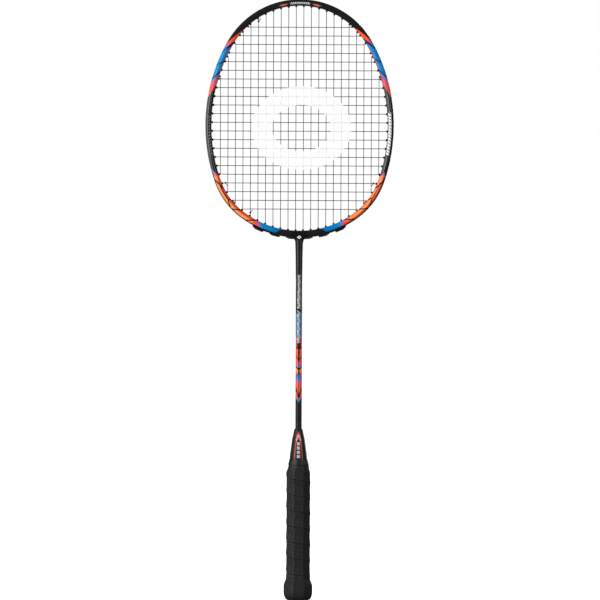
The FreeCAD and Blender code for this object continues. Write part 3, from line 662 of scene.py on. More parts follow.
    @staticmethod
    def _crown(graph: Graph, run: Wire, depth: Wire, colour: Wire) -> Wire:
        """Thin orange and blue slivers beside the crown's middle, and a row of white bars."""
        taper = run.between(15.5, 24.0, 4.0) * 0.65
        orange = abs(depth - 4.5).below(taper, 0.2) & run.between(13.8, 26.0, 0.5)
        blue = abs(depth - 5.6).below(0.4) & run.between(17.4, 22.7, 0.5)
        bars = ((run + depth * 0.5) / 2.2).fraction().between(0.12, 0.7, 0.12)
        bars = bars & run.below(11.6) & depth.between(3.3, 5.4)
        colour = graph.mix(orange, colour, ORANGE)
        return graph.mix(bars, graph.mix(blue, colour, BRIGHT_BLUE), WHITE)

    def _words(self, graph: Graph, run: Wire, along: Wire, depth: Wire, colour: Wire) -> Wire:
        """Plain slanted bars down each side: white on the right, thin grey on the left."""
        phase = ((run + depth * 0.55) / self.bar_pitch).fraction()
        right = phase.between(0.06, 0.8, 0.1) & depth.between(2.9, 6.2) & run.between(182.0, 231.0)
        left = phase.between(0.2, 0.62, 0.1) & depth.between(3.6, 5.8) & run.between(186.0, 233.0)
        colour = graph.mix(right * along.above(0.0), colour, WHITE)
        return graph.mix(left * along.below(0.0) * 0.7, colour, srgb(120, 122, 124))


def silver_bars(graph: Graph, signed: Wire, z: Wire, colour: Wire) -> Wire:
    """Lay a run of slanted silver bars, meaning nothing, down the middle of the shaft.

    Args:
        graph: The material.
        signed: Arc from the middle of the front or the back, in millimetres.
        z: Height in millimetres.
        colour: The colour underneath.

    Returns:
        The colour with the bars over it.
    """
    slanted = z + signed * 0.7
    bars = (slanted / 4.4).fraction().between(0.1, 0.84, 0.1)
    notch = (slanted / 8.8).fraction().between(0.16, 0.32, 0.06) & signed.between(-0.7, 2.4)
    bite = (slanted / 8.8).fraction().between(0.62, 0.78, 0.06) & signed.between(-2.4, 0.3)
    run = z.between(289.4, 365.8, 0.4) & (1 - slanted.between(324.4, 327.2))
    left = signed + 1.25 + z.below(345.0, 12.0) * 0.5
    mask = bars & run & left.above(0.0) & signed.below(1.95) & (1 - (notch | bite))
    # Painted shade: the bars fade to grey towards +X, the side turned away from the light.
    painted_shade_silver = graph.mix(signed.above(0.5, 2.2), SILVER, srgb(142, 145, 148))
    return graph.mix(mask, colour, painted_shade_silver)


@dataclass(frozen=True)
class ShaftLacquer:
    """Black lacquer with silver bars and a chain of flame panels down the front and back.

    The pattern is laid out by reach, the arc from the middle of the nearer of front and
    back, and height.

    Attributes:
        radius: The shaft's radius.
        coat: Weight of the clear coat.
        edge: Reach at which the panels stop.
    """

    radius: float
    coat: float = 0.12
    edge: float = 5.2

    def build(self) -> bpy.types.Material:
        """Make the material."""
        graph = Graph("shaft_lacquer")
        x, y, z = graph.place()
        signed = graph.maths("ARCTAN2", x, abs(y)) * self.radius
        reach = abs(signed)
        colour = self._flames(graph, reach, z)
        colour = silver_bars(graph, signed, z, colour)
        fibres = graph.noise(0.5, 2.0, (1, 1, 0.08))
        return graph.dress(Base_Color=colour, Roughness=0.38 + fibres * 0.08, Specular_IOR_Level=0.14,
                           Coat_Weight=self.coat, Coat_Roughness=0.2,
                           Normal=graph.bump(graph.noise(3.0, 1.0), 0.006))

    def _flames(self, graph: Graph, reach: Wire, z: Wire) -> Wire:
        """Panels, crosses and chevrons from the side stripes down to the last tip."""
        stops = [(222.5, DEEP_BLUE), (225.2, BRIGHT_BLUE), (226.3, VIOLET), (227.7, PINK),
                 (231, CORAL), (234, ORANGE), (240, CORAL), (244, PINK), (248.5, VIOLET),
                 (251, BRIGHT_BLUE), (254.5, BRIGHT_BLUE), (255.5, ORANGE), (260, AMBER),
                 (262.5, BRIGHT_BLUE), (265.5, PINK), (271, ORANGE), (283, ORANGE), (285, CORAL),
                 (294, PINK), (297, VIOLET), (300, BRIGHT_BLUE)]
        base = graph.ramp(z, 220.0, 325.0, stops)
        stripe = reach.above(2.35) & reach.below(self.edge) & z.between(284.6, 322.8, 0.6)
        panel = (z - reach * 0.66).below(281.2) & (z - reach * 0.6).above(261.0)
        centre = reach.below(1.0) & z.above(268.0, 0.4)
        thin = reach.below(0.42)
        head = abs(z - reach * 1.4 - 269.8).below(0.95)
        upper = panel & reach.below(self.edge) & (1 - (centre | thin | head))
        cross = self._cross(reach, z)
        tail = self._tail(reach, z)
        orange = cross & reach.below(self.edge)
        colour = graph.mix(stripe | upper | tail, BLACK, base)
        return graph.mix(orange, colour, graph.mix(z.above(257.0, 4.0), ORANGE, AMBER))

    @staticmethod
    def _cross(reach: Wire, z: Wire) -> Wire:
        """Triangles at each side whose points meet near the middle."""
        return (z - reach).below(258.0) & (z + reach * 1.67).above(257.6) & reach.above(0.85)

    def _tail(self, reach: Wire, z: Wire) -> Wire:
        """Long panel under the cross, and the chevron and diamond that close the chain."""
        long_panel = (z + reach * 1.4).below(255.6) & (z - reach * 2.2).above(231.8) & reach.above(0.3)
        edge = reach.below((z - 226.0) * 0.5)
        long_panel = long_panel & edge & reach.below(4.6)
        outer = (z - reach * 1.5).above(222.4)
        inner = (z - reach * 2.6).below(226.8)
        chevron = outer & inner & (z + reach * 0.9).below(238.0) & z.below(234.6)
        diamond = (abs(z - 229.6) + reach * 1.9).below(3.4)
        return (long_panel | (chevron & reach.below(self.edge))) & (1 - diamond)


@dataclass(frozen=True)
class FairingLacquer:
    """Black lacquer with one small plain lozenge on the front and the back."""

    mark_height: float = 408.2
    mark_half_width: float = 2.5
    mark_half_height: float = 1.9
    neck_radius: float = 3.8

    def build(self) -> bpy.types.Material:
        """Make the material."""
        graph = Graph("fairing_lacquer")
        x, y, z = graph.place()
        spread = abs(x) / self.mark_half_width + abs(z - self.mark_height) / self.mark_half_height
        lozenge = spread.between(0.36, 1.05, 0.1)
        colour = graph.mix(lozenge, BLACK, SILVER)
        signed = graph.maths("ARCTAN2", x, abs(y)) * self.neck_radius
        colour = silver_bars(graph, signed, z, colour)
        rough = 0.34 + graph.noise(1.2) * 0.08
        return graph.dress(Base_Color=colour, Roughness=rough, Specular_IOR_Level=0.14,
                           Coat_Weight=0.15, Coat_Roughness=0.18,
                           Normal=graph.bump(graph.noise(3.0, 1.0), 0.01))


@dataclass(frozen=True)
class ConePlastic:
    """Satin black plastic with nested chevrons and a stack of plain silver bars.

    Attributes:
        steep: How fast the chevrons' arms rise towards the middle.
    """

    steep: float = 2.1

    def build(self) -> bpy.types.Material:
        """Make the material."""
        graph = Graph("cone_plastic")
        x, y, z = graph.place()
        reach = abs(x)
        front = y.below(0.0)
        small = (z + reach * self.steep).between(187.6, 190.3) & reach.below(2.4)
        pale = (z + reach * self.steep).between(184.8, 187.1) & reach.below(2.9)
        legs = self._legs(reach, z)
        bars = ((z - 159.4) / 4.75).fraction().between(0.2, 0.92, 0.08)
        bars = bars & reach.below(1.75) & z.between(159.6, 178.3)
        base = graph.mix(graph.noise(0.5, 3.0), srgb(20, 20, 21), srgb(34, 34, 35))
        colour = graph.mix((small | legs) & front, base, srgb(226, 66, 36))
        colour = graph.mix(pale & front, colour, srgb(196, 204, 206))
        colour = graph.mix(bars & front, colour, srgb(176, 179, 186))
        grain = graph.bump(graph.noise(0.3, 2.0), 0.02)
        return graph.dress(Base_Color=colour, Roughness=0.4 + graph.noise(4.0) * 0.1,
                           Specular_IOR_Level=0.18, Normal=grain)

    def _legs(self, reach: Wire, z: Wire) -> Wire:
        """Long orange chevron: short steep arms that turn into two slowly parting legs."""
        arms = (z + reach * self.steep).between(182.0, 184.4) & z.above(177.0)
        middle = 3.3 + (176.5 - z) * 0.072
        legs = abs(reach - middle).below(0.38) & z.between(158.8, 177.6)
        return arms | legs


@dataclass(frozen=True)
class GripLeather:
    """Black padded tape with a fine leather grain; painted shade fills the perforations and the
    foot of each lap, and a painted highlight runs along each lapped edge.

    The mesh carries hole, edge and seam, all 0..1.

    Attributes:
        pebbles: How many cells of the grain lie along a metre.
    """

    pebbles: float = 1600.0

    def build(self) -> bpy.types.Material:
        """Make the material."""
        graph = Graph("grip_leather")
        hole, edge, seam = graph.mark("hole"), graph.mark("edge"), graph.mark("seam")
        blotch = graph.noise(9.0, 3.0)
        colour = graph.mix(blotch, srgb(25, 25, 26), srgb(34, 34, 35))
        # Painted highlight along the raised edge of each lap.
        colour = graph.mix(edge * 0.35, colour, srgb(50, 50, 51))
        # Painted shade: near black in the perforations and along the foot of each lap.
        colour = graph.mix(hole | seam, colour, srgb(3, 3, 3))
        spot = Wire(graph, graph.node("ShaderNodeTexCoord").outputs["Object"])
        cells = graph.node("ShaderNodeTexVoronoi", {"feature": "DISTANCE_TO_EDGE"},
                           {"Vector": spot, "Scale": self.pebbles})
        grain = Wire(graph, cells.outputs["Distance"]) + graph.noise(0.25, 3.0) * 0.5
        rough = 0.5 + blotch * 0.1 - edge * 0.06 + (hole | seam) * 0.3
        return graph.dress(Base_Color=colour, Roughness=rough, Specular_IOR_Level=0.22,
                           Normal=graph.bump(grain, 0.04, 0.7))


@dataclass(frozen=True)
class PlainFinish:
    """A material of one colour varied by grain, for tape, caps, grommets and hidden pieces.

    Attributes:
        name: The material's name.
        dark: The colour in the hollows of its grain.
        light: The colour on the rises.
        grain: Size of the grain in millimetres.
        depth: Height of the grain in millimetres.
        rough: Mean roughness.
        stretch: Scale of the grain along each axis.
    """

    name: str
    dark: Colour
    light: Colour
    grain: float
    depth: float
    rough: float
    stretch: Colour = (1, 1, 1)

    def build(self) -> bpy.types.Material:
        """Make the material."""
        graph = Graph(self.name)
        grain = graph.noise(self.grain, 3.0, self.stretch)
        cloud = graph.noise(self.grain * 14, 2.0)
        colour = graph.mix(grain * 0.6 + cloud * 0.4, self.dark, self.light)
        rough = self.rough + (cloud - 0.5) * 0.12
        return graph.dress(Base_Color=colour, Roughness=rough, Specular_IOR_Level=0.2,
                           Normal=graph.bump(grain, self.depth))


@dataclass(frozen=True)
class StringNylon:
    """Charcoal braided nylon, with a plain pale ring painted across the string bed.

    Attributes:
        name: The material's name.
        ring_centre: Place of the ring's centre, as (x, z).
        ring_outer: The ring's outer half width and half height.
        ring_inner: The same of its hole.
        braid: Distance between the braid's ridges along the string.
        on_run: Whether the mesh has UVs of (turn round the string, run along it).
    """

    name: str
    ring_centre: tuple[float, float]
    ring_outer: tuple[float, float] = (56.0, 47.0)
    ring_inner: tuple[float, float] = (33.0, 26.0)
    braid: float = 1.6
    on_run: bool = True

    def build(self) -> bpy.types.Material:
        """Make the material."""
        graph = Graph(self.name)
        x, _, z = graph.place()
        across, up = x - self.ring_centre[0], z - self.ring_centre[1]
        outer = self._inside(across, up, self.ring_outer)
        inner = self._inside(across, up, self.ring_inner)
        worn = graph.noise(1.4, 2.0).between(0.22, 1.0, 0.2)
        paint = outer * (1 - inner) * worn
        dust = graph.noise(0.8, 2.0)
        colour = graph.mix(dust, srgb(10, 10, 10), srgb(24, 23, 24))
        colour = graph.mix(paint, colour, srgb(250, 250, 250))
        height = self._braid_height(graph) if self.on_run else graph.noise(0.2)
        return graph.dress(Base_Color=colour, Roughness=0.42 + paint * 0.3, Specular_IOR_Level=0.1,
                           Normal=graph.bump(height, 0.02, 0.8))

    @staticmethod
    def _inside(across: Wire, up: Wire, half: tuple[float, float]) -> Wire:
        """Mask of an ellipse: (x / a)^2 + (z / b)^2 under 1."""
        wide, tall = across / half[0], up / half[1]
        return (wide * wide + tall * tall).below(1.0, 0.02)

    def _braid_height(self, graph: Graph) -> Wire:
        """Two families of helical ridges: |frac(3 u +- v / braid) - 1/2|, the greater of both."""
        uv = graph.node("ShaderNodeUVMap", {"uv_map": "run"}).outputs[0]
        split = graph.node("ShaderNodeSeparateXYZ", inputs={0: Wire(graph, uv)})
        turn = Wire(graph, split.outputs[0]) * 3
        run = Wire(graph, split.outputs[1]) / self.braid
        return abs((turn + run).fraction() - 0.5) | abs((turn - run + 400).fraction() - 0.5)


# ---------------------------------------------------------------- head

@dataclass(frozen=True)
class Outline:
    """Outer outline of the head: four tangent arcs a side, from the crown to the throat.

    A heading is the angle of the outline's outward normal from +Z.  The last arc's radius
    closes the outline on the racket's axis.  top is the crown's height, and turns are degrees.
    """

    top: float
    radii: tuple[float, float, float] = (93.3, 192.6, 82.8)
    turns: tuple[float, float, float] = (60.9, 48.7, 33.9)

    def arcs(self) -> np.ndarray:
        """Rows of (centre x, centre z, radius, first heading, last heading, run before)."""
        rows, x, z, heading, run = [], 0.0, self.top, 0.0, 0.0
        for radius, turn in zip(self.radii, np.radians(self.turns)):
            centre_x = x - radius * math.sin(heading)
            centre_z = z - radius * math.cos(heading)
            rows.append((centre_x, centre_z, radius, heading, heading + turn, run))
            heading, run = heading + turn, run + radius * turn
            x = centre_x + radius * math.sin(heading)
            z = centre_z + radius * math.cos(heading)
        radius = x / math.sin(heading)
        rows.append((0.0, z - radius * math.cos(heading), radius, heading, math.pi, run))
        return np.array(rows)

    def bottom(self) -> float:
        """Height of the outline's lowest point."""
        last = self.arcs()[-1]
        return float(last[1] - last[2])

    def heading(self, run: np.ndarray) -> np.ndarray:
        """Heading at a run from the crown: the arc's first heading + its own run / its radius.

        Args:
            run: Length along the outline.

        Returns:
            Headings in radians.
        """
        arcs = self.arcs()
        which = np.clip(np.searchsorted(arcs[:, 5], run, side="right") - 1, 0, len(arcs) - 1)
        return arcs[which, 3] + (run - arcs[which, 5]) / arcs[which, 2]

    def _arcs_at(self, heading: np.ndarray | float) -> np.ndarray:
        """Rows of the arcs that the headings fall on."""
        arcs = self.arcs()
        which = np.searchsorted(arcs[:, 3], heading, side="right") - 1
        return arcs[np.clip(which, 0, len(arcs) - 1)]

    def run_at(self, heading: float) -> float:
        """Run from the crown at a heading."""
        row = self._arcs_at(heading)
        return float(row[5] + row[2] * (heading - row[3]))

    def point(self, heading: np.ndarray, depth: np.ndarray) -> np.ndarray:
        """Points (x, z) on the right half: centre + (sin, cos) of heading * (radius - depth).

        Args:
            heading: Headings in radians.
            depth: Distances inwards from the outline.

        Returns:
            Array of (x, z).
        """
        arcs = self._arcs_at(heading)
        reach = arcs[..., 2] - depth
        return np.stack([arcs[..., 0] + np.sin(heading) * reach,
                         arcs[..., 1] + np.cos(heading) * reach], axis=-1)

    def locate(self, point: np.ndarray) -> tuple[float, float]:
        """Heading and depth of a point, on the arc whose outline passes nearest to it.

        Args:
            point: The point (x, z) of the right half.

        Returns:
            Its heading in radians and its distance inwards from the outline.
        """
        found = []
        for centre_x, centre_z, radius, first, last, _ in self.arcs():
            across, up = point[0] - centre_x, point[1] - centre_z
            heading = math.atan2(across, up) % TURN
            if first - SLACK <= heading <= last + SLACK:
                found.append((heading, radius - math.hypot(across, up)))
        return min(found, key=lambda pair: abs(pair[1]))

    def heading_at(self, value: float, depth: float, axis: int, upper: bool = True) -> float:
        """Heading where the outline, moved inwards, passes a given x or z.

        Args:
            value: The x or z.
            depth: How far the outline is moved inwards.
            axis: 0 for x, 1 for z.
            upper: Whether the upper of the two places with that x is meant.

        Returns:
            The heading in radians.
        """
        for centre_x, centre_z, radius, first, last, _ in self.arcs():
            ratio = (value - (centre_x, centre_z)[axis]) / (radius - depth)
            if abs(ratio) <= 1:
                heading = math.acos(ratio) if axis else math.asin(ratio)
                heading = heading if axis or upper else math.pi - heading
                if first - SLACK <= heading <= last + SLACK:
                    return heading
        raise ValueError(f"the outline does not pass {value}")


@dataclass(frozen=True)
class HeadTube:
    """Faceted tube round the head, with the string groove outside.

    Attributes:
        ridge: Distances inwards at which its front facet begins and ends.
        groove_least: Depth that stands for no groove, where the section stays plain.
        groove_reach: Distance from the axis at which the groove ends, low on the head.
        throat_half_gap: Distance from the axis at which the tube gives way to the throat.
    """

    outline: Outline
    half_depth: float = 5.0
    side: float = 3.0
    ridge: tuple[float, float] = (2.7, 4.3)
    width: float = 7.0
    groove_half: float = 1.35
    groove_depth: float = 1.5
    groove_least: float = 0.012
    groove_reach: float = 53.0
    groove_fade: float = 3.0
    throat_half_gap: float = 8.5
    rings: int = 640

    def section(self, groove: float) -> np.ndarray:
        """Outline of the section: an octagon of facets with a groove in its outer side.

        Args:
            groove: The groove's depth.

        Returns:
            Array of (distance inwards, y).
        """
        front = [(0, self.side), (self.ridge[0], self.half_depth),
                 (self.ridge[1], self.half_depth), (self.width, self.side)]
        back = [(depth, -y) for depth, y in reversed(front)]
        half = self.groove_half
        floor = [(0, -half), (groove, -half + 0.01), (groove, half - 0.01), (0, half)]
        radii = [1.2, 0.9, 0.9, 1.2] * 2 + [0.25, 0.1, 0.1, 0.25]
        return rounded_polygon(front + back + floor, radii)

    def surface(self) -> Surface:
        """The section carried round the outline, its groove fading out low on the head."""
        end = self.outline.run_at(self.outline.heading_at(
            self.throat_half_gap, self.width / 2, 0, upper=False))
        fade = self.outline.run_at(self.outline.heading_at(
            self.groove_reach, 0.0, 0, upper=False))
        run = np.linspace(-end, end, self.rings)
        full, shallow = self.section(self.groove_depth), self.section(self.groove_least)
        share = smooth(np.abs(run), fade, fade + self.groove_fade)[:, None, None]
        section = full * (1 - share) + shallow * share
        depth, y = section[..., 0], section[..., 1]
        flat = self.outline.point(self.outline.heading(np.abs(run))[:, None] + 0 * depth, depth)
        points = np.stack([flat[..., 0] * np.sign(run)[:, None], y, flat[..., 1]], axis=-1)
        marks = {"along": run[:, None] + 0 * depth, "depth": depth}
        return Surface(points, capped=True, marks=marks)

    def make(self) -> None:
        """Build and paint the tube."""
        material = HeadLacquer().build()
        Piece("head_tube", ["head_frame"], "frame_lacquer").make([self.surface()], material)


@dataclass(frozen=True)
class Throat:
    """Fairing that blends the head's tube into the neck round the shaft.

    Attributes:
        tube: The head's tube, whose plain section the arms carry on.
        neck: Stations (height, radius) of the neck under the junction, from the top down.
        split: Angle round the tube's section that parts the neck's side from the front.
        counts: Points on the outer side, on the front facet and over the top.
        steps: Rows between an arm and the middle.
        pull: How far the blend's tangents reach, as shares of its chord.
    """

    tube: HeadTube
    neck: tuple[tuple[float, float], ...] = (
        (401.6, 4.5), (398.0, 4.32), (392.0, 4.16), (384.0, 4.02), (374.0, 3.88), (362.0, 3.73))
    split: float = 52.0
    counts: tuple[int, int, int] = (13, 12, 22)
    steps: int = 22
    pull: tuple[float, float] = (0.95, 0.95)

    def _ring(self) -> tuple[np.ndarray, np.ndarray, np.ndarray]:
        """Section points of an arm, in three runs: outer side, front facet, then over the top.

        Returns:
            Arrays of (depth, y) from the outer middle round the front to the inner middle.
        """
        plain = self.tube.section(self.tube.groove_least)
        dense = resampled(plain, np.linspace(0, 1, 2401)[:-1])
        angle = np.degrees(np.arctan2(-dense[:, 1], 0.5 * self.tube.width - dense[:, 0]))
        half = dense[angle >= 0][np.argsort(angle[angle >= 0])]
        turn = np.sort(angle[angle >= 0])
        ridge = math.degrees(math.atan2(self.tube.half_depth,
                                        0.5 * self.tube.width - self.tube.ridge[0]))
        bounds = (0, self.split, ridge, 180)
        runs = [self._even(half[(turn >= low) & (turn <= high)], count)
                for low, high, count in zip(bounds, bounds[1:], self.counts)]
        return runs[0], runs[1][1:], runs[2][1:]

    @staticmethod
    def _even(run: np.ndarray, count: int) -> np.ndarray:
        """So many points, evenly spaced by length along a run of points."""
        step = np.concatenate([[0], np.cumsum(np.linalg.norm(np.diff(run, axis=0), axis=1))])
        at = np.linspace(0, step[-1], count)
        return np.stack([np.interp(at, step, run[:, axis]) for axis in range(2)], axis=-1)

    def _targets(self, outer: np.ndarray, facet: np.ndarray, top: np.ndarray) -> np.ndarray:
        """Points that the section's points run to.

        Args:
            outer: Section points of the outer side, which run to the neck's rim.
            facet: Those of the front facet, which run to the line down the front's middle.
            top: Those over the top, which run to their like in the plane of symmetry.

        Returns:
            Array of points.
        """
        height, radius = self.neck[0]
        turn = np.linspace(0, math.pi / 2, len(outer))
        rim = np.stack([radius * np.cos(turn), -radius * np.sin(turn), height + 0 * turn], axis=-1)
        bottom = self.tube.outline.bottom()
        share = np.linspace(0, 1, len(facet) + 1)[1:]
        rise = smooth(share, 0.0, 1.0)
        ridge = facet[-1]
        line = np.stack([0 * share, -radius + (ridge[1] + radius) * rise,
                         height + (bottom + ridge[0] - height) * share], axis=-1)
        over = np.stack([0 * top[:, 0], top[:, 1], bottom + top[:, 0]], axis=-1)
        return np.vstack([rim, line, over])

    def _quarter(self) -> np.ndarray:
        """Front right quarter of the junction.

        Each section point runs to its target on a cubic Hermite curve: it leaves along the
        arm, and arrives straight down on the neck's rim, or straight across on the middle.
        """
        outer, facet, top = self._ring()
        section = np.vstack([outer, facet, top])
        heading = self.tube.outline.heading_at(
            self.tube.throat_half_gap, self.tube.width / 2, 0, upper=False)
        flat = self.tube.outline.point(heading + 0 * section[:, 0], section[:, 0])
        start = np.stack([flat[:, 0], section[:, 1], flat[:, 1]], axis=-1)
        end = self._targets(outer, facet, top)
        chord = np.linalg.norm(end - start, axis=1, keepdims=True)
        leave = np.array([math.cos(heading), 0.0, -math.sin(heading)]) * chord * self.pull[0]
        eased = 1 - smooth(np.linspace(0, 1, len(facet) + 1)[1:], 0, 1)
        turn = np.concatenate([np.full(len(outer), math.pi / 2), math.pi / 2 * eased,
                               np.zeros(len(top))])
        arrive = np.stack([-np.cos(turn), 0 * turn, -np.sin(turn)], axis=-1) * chord * self.pull[1]
        k = np.linspace(0, 1, self.steps)[:, None, None]
        return ((2 * k ** 3 - 3 * k ** 2 + 1) * start + (k ** 3 - 2 * k ** 2 + k) * leave
                + (3 * k ** 2 - 2 * k ** 3) * end + (k ** 3 - k ** 2) * arrive)

    def surfaces(self) -> list[Surface]:
        """Four mirrored quarters of the junction, its ends in the arms, and the neck below."""
        quarter = self._quarter()
        front = [quarter * (side, 1, 1) for side in (1, -1)]
        back = [part * (1, -1, 1) for part in front]
        parts = [Surface(part, closed=False) for part in front + back]
        start = quarter[0]
        ring = np.vstack([start, start[-2:0:-1] * (1, -1, 1)])
        caps = [Surface(np.stack([ring * (side, 1, 1), ring.mean(axis=0) * (side, 1, 1) + 0 * ring]))
                for side in (1, -1)]
        return parts + caps + [self._neck_surface()]

    def _neck_surface(self) -> Surface:
        """Neck of revolution on the junction's rim, closed at its foot."""
        stations = flowing(self.neck, 6)
        turn = np.linspace(0, TURN, 48, endpoint=False)
        height, radius = stations[:, :1], stations[:, 1:]
        foot = np.array([[stations[-1, 0]]])
        height, radius = np.vstack([height, foot]), np.vstack([radius, [[0.0]]])
        points = np.stack([radius * np.cos(turn), -radius * np.sin(turn), height + 0 * turn], axis=-1)
        return Surface(points)

    def make(self) -> None:
        """Build and paint the fairing."""
        material = FairingLacquer(mark_height=self.tube.outline.bottom() - 0.4).build()
        Piece("throat_shell", ["throat_fairing"], "frame_lacquer").make(
            self.surfaces(), material, weld=True)


# ---------------------------------------------------------------- strings

@dataclass(frozen=True)
class StringEnd:
    """Where a string passes through the tube: its barrel's heading, aim and inner mouth."""

    heading: float
    aim: float
    mouth: np.ndarray


@dataclass
class StringBed:
    """Two strings woven through the head: one runs up and down, the other side to side.

    Attributes:
        radius: Half a string's thickness.
        count, cross_count: Long strings on each side, and cross runs.
        spacing, cross_spacing: Distances between them.
        first_drop: Height from the crown down to the first cross run.
        weave: How far a string leaves the middle plane where it passes another.
        parting: How far in front or behind a string stands at its ends and outside.
        mouth_depth: Distance inwards from the outline to a barrel's inner mouth.
        lean: How far a barrel may lean towards its string, in radians.
        groove_reach: Distance from the axis at which the frame's groove ends.
        groove_run, pad_run: Depth of a run in the groove, and over the pads by the throat.
        span: Longest straight step of a run outside.
        sharing: Distance between two mouths under which their strings share one barrel.
        near_mouth: Distance from a mouth within which the long string passes behind.
        on_mouth: Distance from a mouth within which a crossing is left out.
        tied_cross, cross_anchors: Strings that the long and the cross string are knotted to.
        tight_bend: Bend above which a corner is turned tightly, in radians.
        corner_radii: Radius of a tight corner and of any other.
        mark: Place of the painted ring: x, and height under the crown.
        ends: Every string end of the right half, by place and number.
    """

    outline: Outline
    radius: float = 0.385
    count: int = 11
    cross_count: int = 22
    spacing: float = 8.47
    cross_spacing: float = 9.725
    first_drop: float = 31.3
    weave: float = 0.385
    parting: float = 0.45
    mouth_depth: float = 8.65
    lean: float = math.radians(6.0)
    groove_reach: float = 53.0
    groove_run: float = 0.61
    pad_run: float = -2.39
    span: float = 11.0
    sharing: float = 2.6
    near_mouth: float = 3.2
    on_mouth: float = 0.9
    knot_start: float = 1.4
    tied_cross: int = 18
    cross_anchors: tuple[int, int] = (5, 6)
    tight_bend: float = math.radians(30)
    corner_radii: tuple[float, float] = (0.9, 9.0)
    mark: tuple[float, float] = (2.0, 144.5)
    sides: int = 8
    ends: dict[tuple[str, int], StringEnd] = field(init=False, default_factory=dict)
    groove_end: float = field(init=False, default=0.0)

    def __post_init__(self) -> None:
        """Plan every string end of the right half."""
        self.groove_end = self.outline.heading_at(self.groove_reach, 0.0, 0, upper=False)
        for index in range(self.count):
            for place, straight in (("top", 0.0), ("bottom", math.pi)):
                heading = self.outline.heading_at(
                    self.reach(index), self.mouth_depth, 0, place == "top")
                self.ends[place, index] = self._end(heading, straight)
        for index in range(self.cross_count):
            heading = self.outline.heading_at(self.height(index), self.mouth_depth, 1)
            self.ends["side", index] = self._end(heading, math.pi / 2)
        order = sorted(self.ends, key=lambda key: self.ends[key].heading)
        for first, second in zip(order, order[1:]):
            if np.linalg.norm(self.ends[first].mouth - self.ends[second].mouth) < self.sharing:
                middle = (self.ends[first].heading + self.ends[second].heading) / 2
                self.ends[first] = self.ends[second] = self._end(middle, middle)

    def _end(self, heading: float, straight: float) -> StringEnd:
        """String end whose barrel leans towards its string as far as it may."""
        aim = heading + max(-self.lean, min(self.lean, straight - heading))
        mouth = self.outline.point(np.array(heading), np.array(self.mouth_depth))
        return StringEnd(heading, aim, mouth)

    def reach(self, index: int) -> float:
        """Distance of a long string from the axis."""
        return self.spacing * (index + 0.5)

    def height(self, index: int) -> float:
        """Height of a cross run, the highest first."""
        return self.outline.top - self.first_drop - self.cross_spacing * index

    def _outlet(self, end: StringEnd) -> np.ndarray:
        """Corner outside the tube, on the barrel's axis, where the string turns along it."""
        depth = self.groove_run if end.heading < self.groove_end else self.pad_run
        ray, reach = np.array([math.sin(end.aim), math.cos(end.aim)]), 0.0
        for _ in range(8):
            heading, here = self.outline.locate(end.mouth + ray * reach)
            reach += (here - depth) / math.cos(end.aim - heading)
        return end.mouth + ray * reach

    @staticmethod
    def _lift(flat: np.ndarray, side: int, y: float) -> np.ndarray:
        """A right-half point (x, z) on one side of the racket, at a y."""
        return np.array([flat[0] * side, y, flat[1]])

    def _sign(self, main: int, side: int, cross: int) -> int:
        """Which of two crossing strings is in front.

        Args:
            main: The long string's number.
            side: +1 on the right, -1 on the left.
            cross: The cross run's number.

        Returns:
            +1 where the long string passes behind the cross run, -1 where in front.
        """
        here = np.array([self.reach(main), self.height(cross)])
        keys = (("top", main), ("bottom", main), ("side", cross))
        if min(np.linalg.norm(here - self.ends[key].mouth) for key in keys) < self.near_mouth:
            return 1
        column = main if side > 0 else -1 - main
        return 1 if (column + cross) % 2 == 0 else -1

    def _meet(self, main: int, cross: int) -> bool:
        """Whether a long string and a cross run pass each other inside the head."""
        top, bottom = self.ends["top", main].mouth, self.ends["bottom", main].mouth
        inside = bottom[1] < self.height(cross) < top[1]
        return inside and self.reach(main) < self.ends["side", cross].mouth[0]

    def _clear(self, points: list[np.ndarray], first: np.ndarray,
               last: np.ndarray) -> list[np.ndarray]:
        """A run's points without those that lie on its mouths."""
        keep = [p for p in points
                if min(np.linalg.norm(p - first), np.linalg.norm(p - last)) > self.on_mouth]
        return [first, *keep, last]

    def main_run(self, main: int, side: int) -> list[np.ndarray]:
        """One long string between its mouths, from the top down."""
        top = self._lift(self.ends["top", main].mouth, side, self.parting)
        bottom = self._lift(self.ends["bottom", main].mouth, side, self.parting)
        points = [self._lift((self.reach(main), self.height(cross)), side,
                             self.weave * self._sign(main, side, cross))
                  for cross in range(self.cross_count) if self._meet(main, cross)]
        return self._clear(points, top, bottom)

    def cross_run(self, cross: int) -> list[np.ndarray]:
        """One cross run between its mouths, from left to right."""
        right = self._lift(self.ends["side", cross].mouth, 1, -self.parting)
        left = self._lift(self.ends["side", cross].mouth, -1, -self.parting)
        columns = [(m, -1) for m in reversed(range(self.count))] + [(m, 1) for m in range(self.count)]
        points = [self._lift((self.reach(main), self.height(cross)), side,
                             -self.weave * self._sign(main, side, cross))
                  for main, side in columns if self._meet(main, cross)]
        return self._clear(points, left, right)

    def _outside(self, start: StringEnd, end: StringEnd, side: int, y: float) -> list[np.ndarray]:
        """Run along the outside from one end to another.

        Args:
            start: The end that it leaves.
            end: The end that it goes to.
            side: +1 on the right, -1 on the left.
            y: Its place across the racket's depth.

        Returns:
            Points from outlet to outlet.
        """
        first, last = self._outlet(start), self._outlet(end)
        spans = math.ceil(np.linalg.norm(last - first) / self.span)
        low, high = self.outline.locate(first)[0], self.outline.locate(last)[0]
        depth = self.groove_run if start.heading < self.groove_end else self.pad_run
        between = [self.outline.point(np.array(low + (high - low) * step / spans), np.array(depth))
                   for step in range(1, spans)]
        return [self._lift(point, side, y) for point in (first, *between, last)]

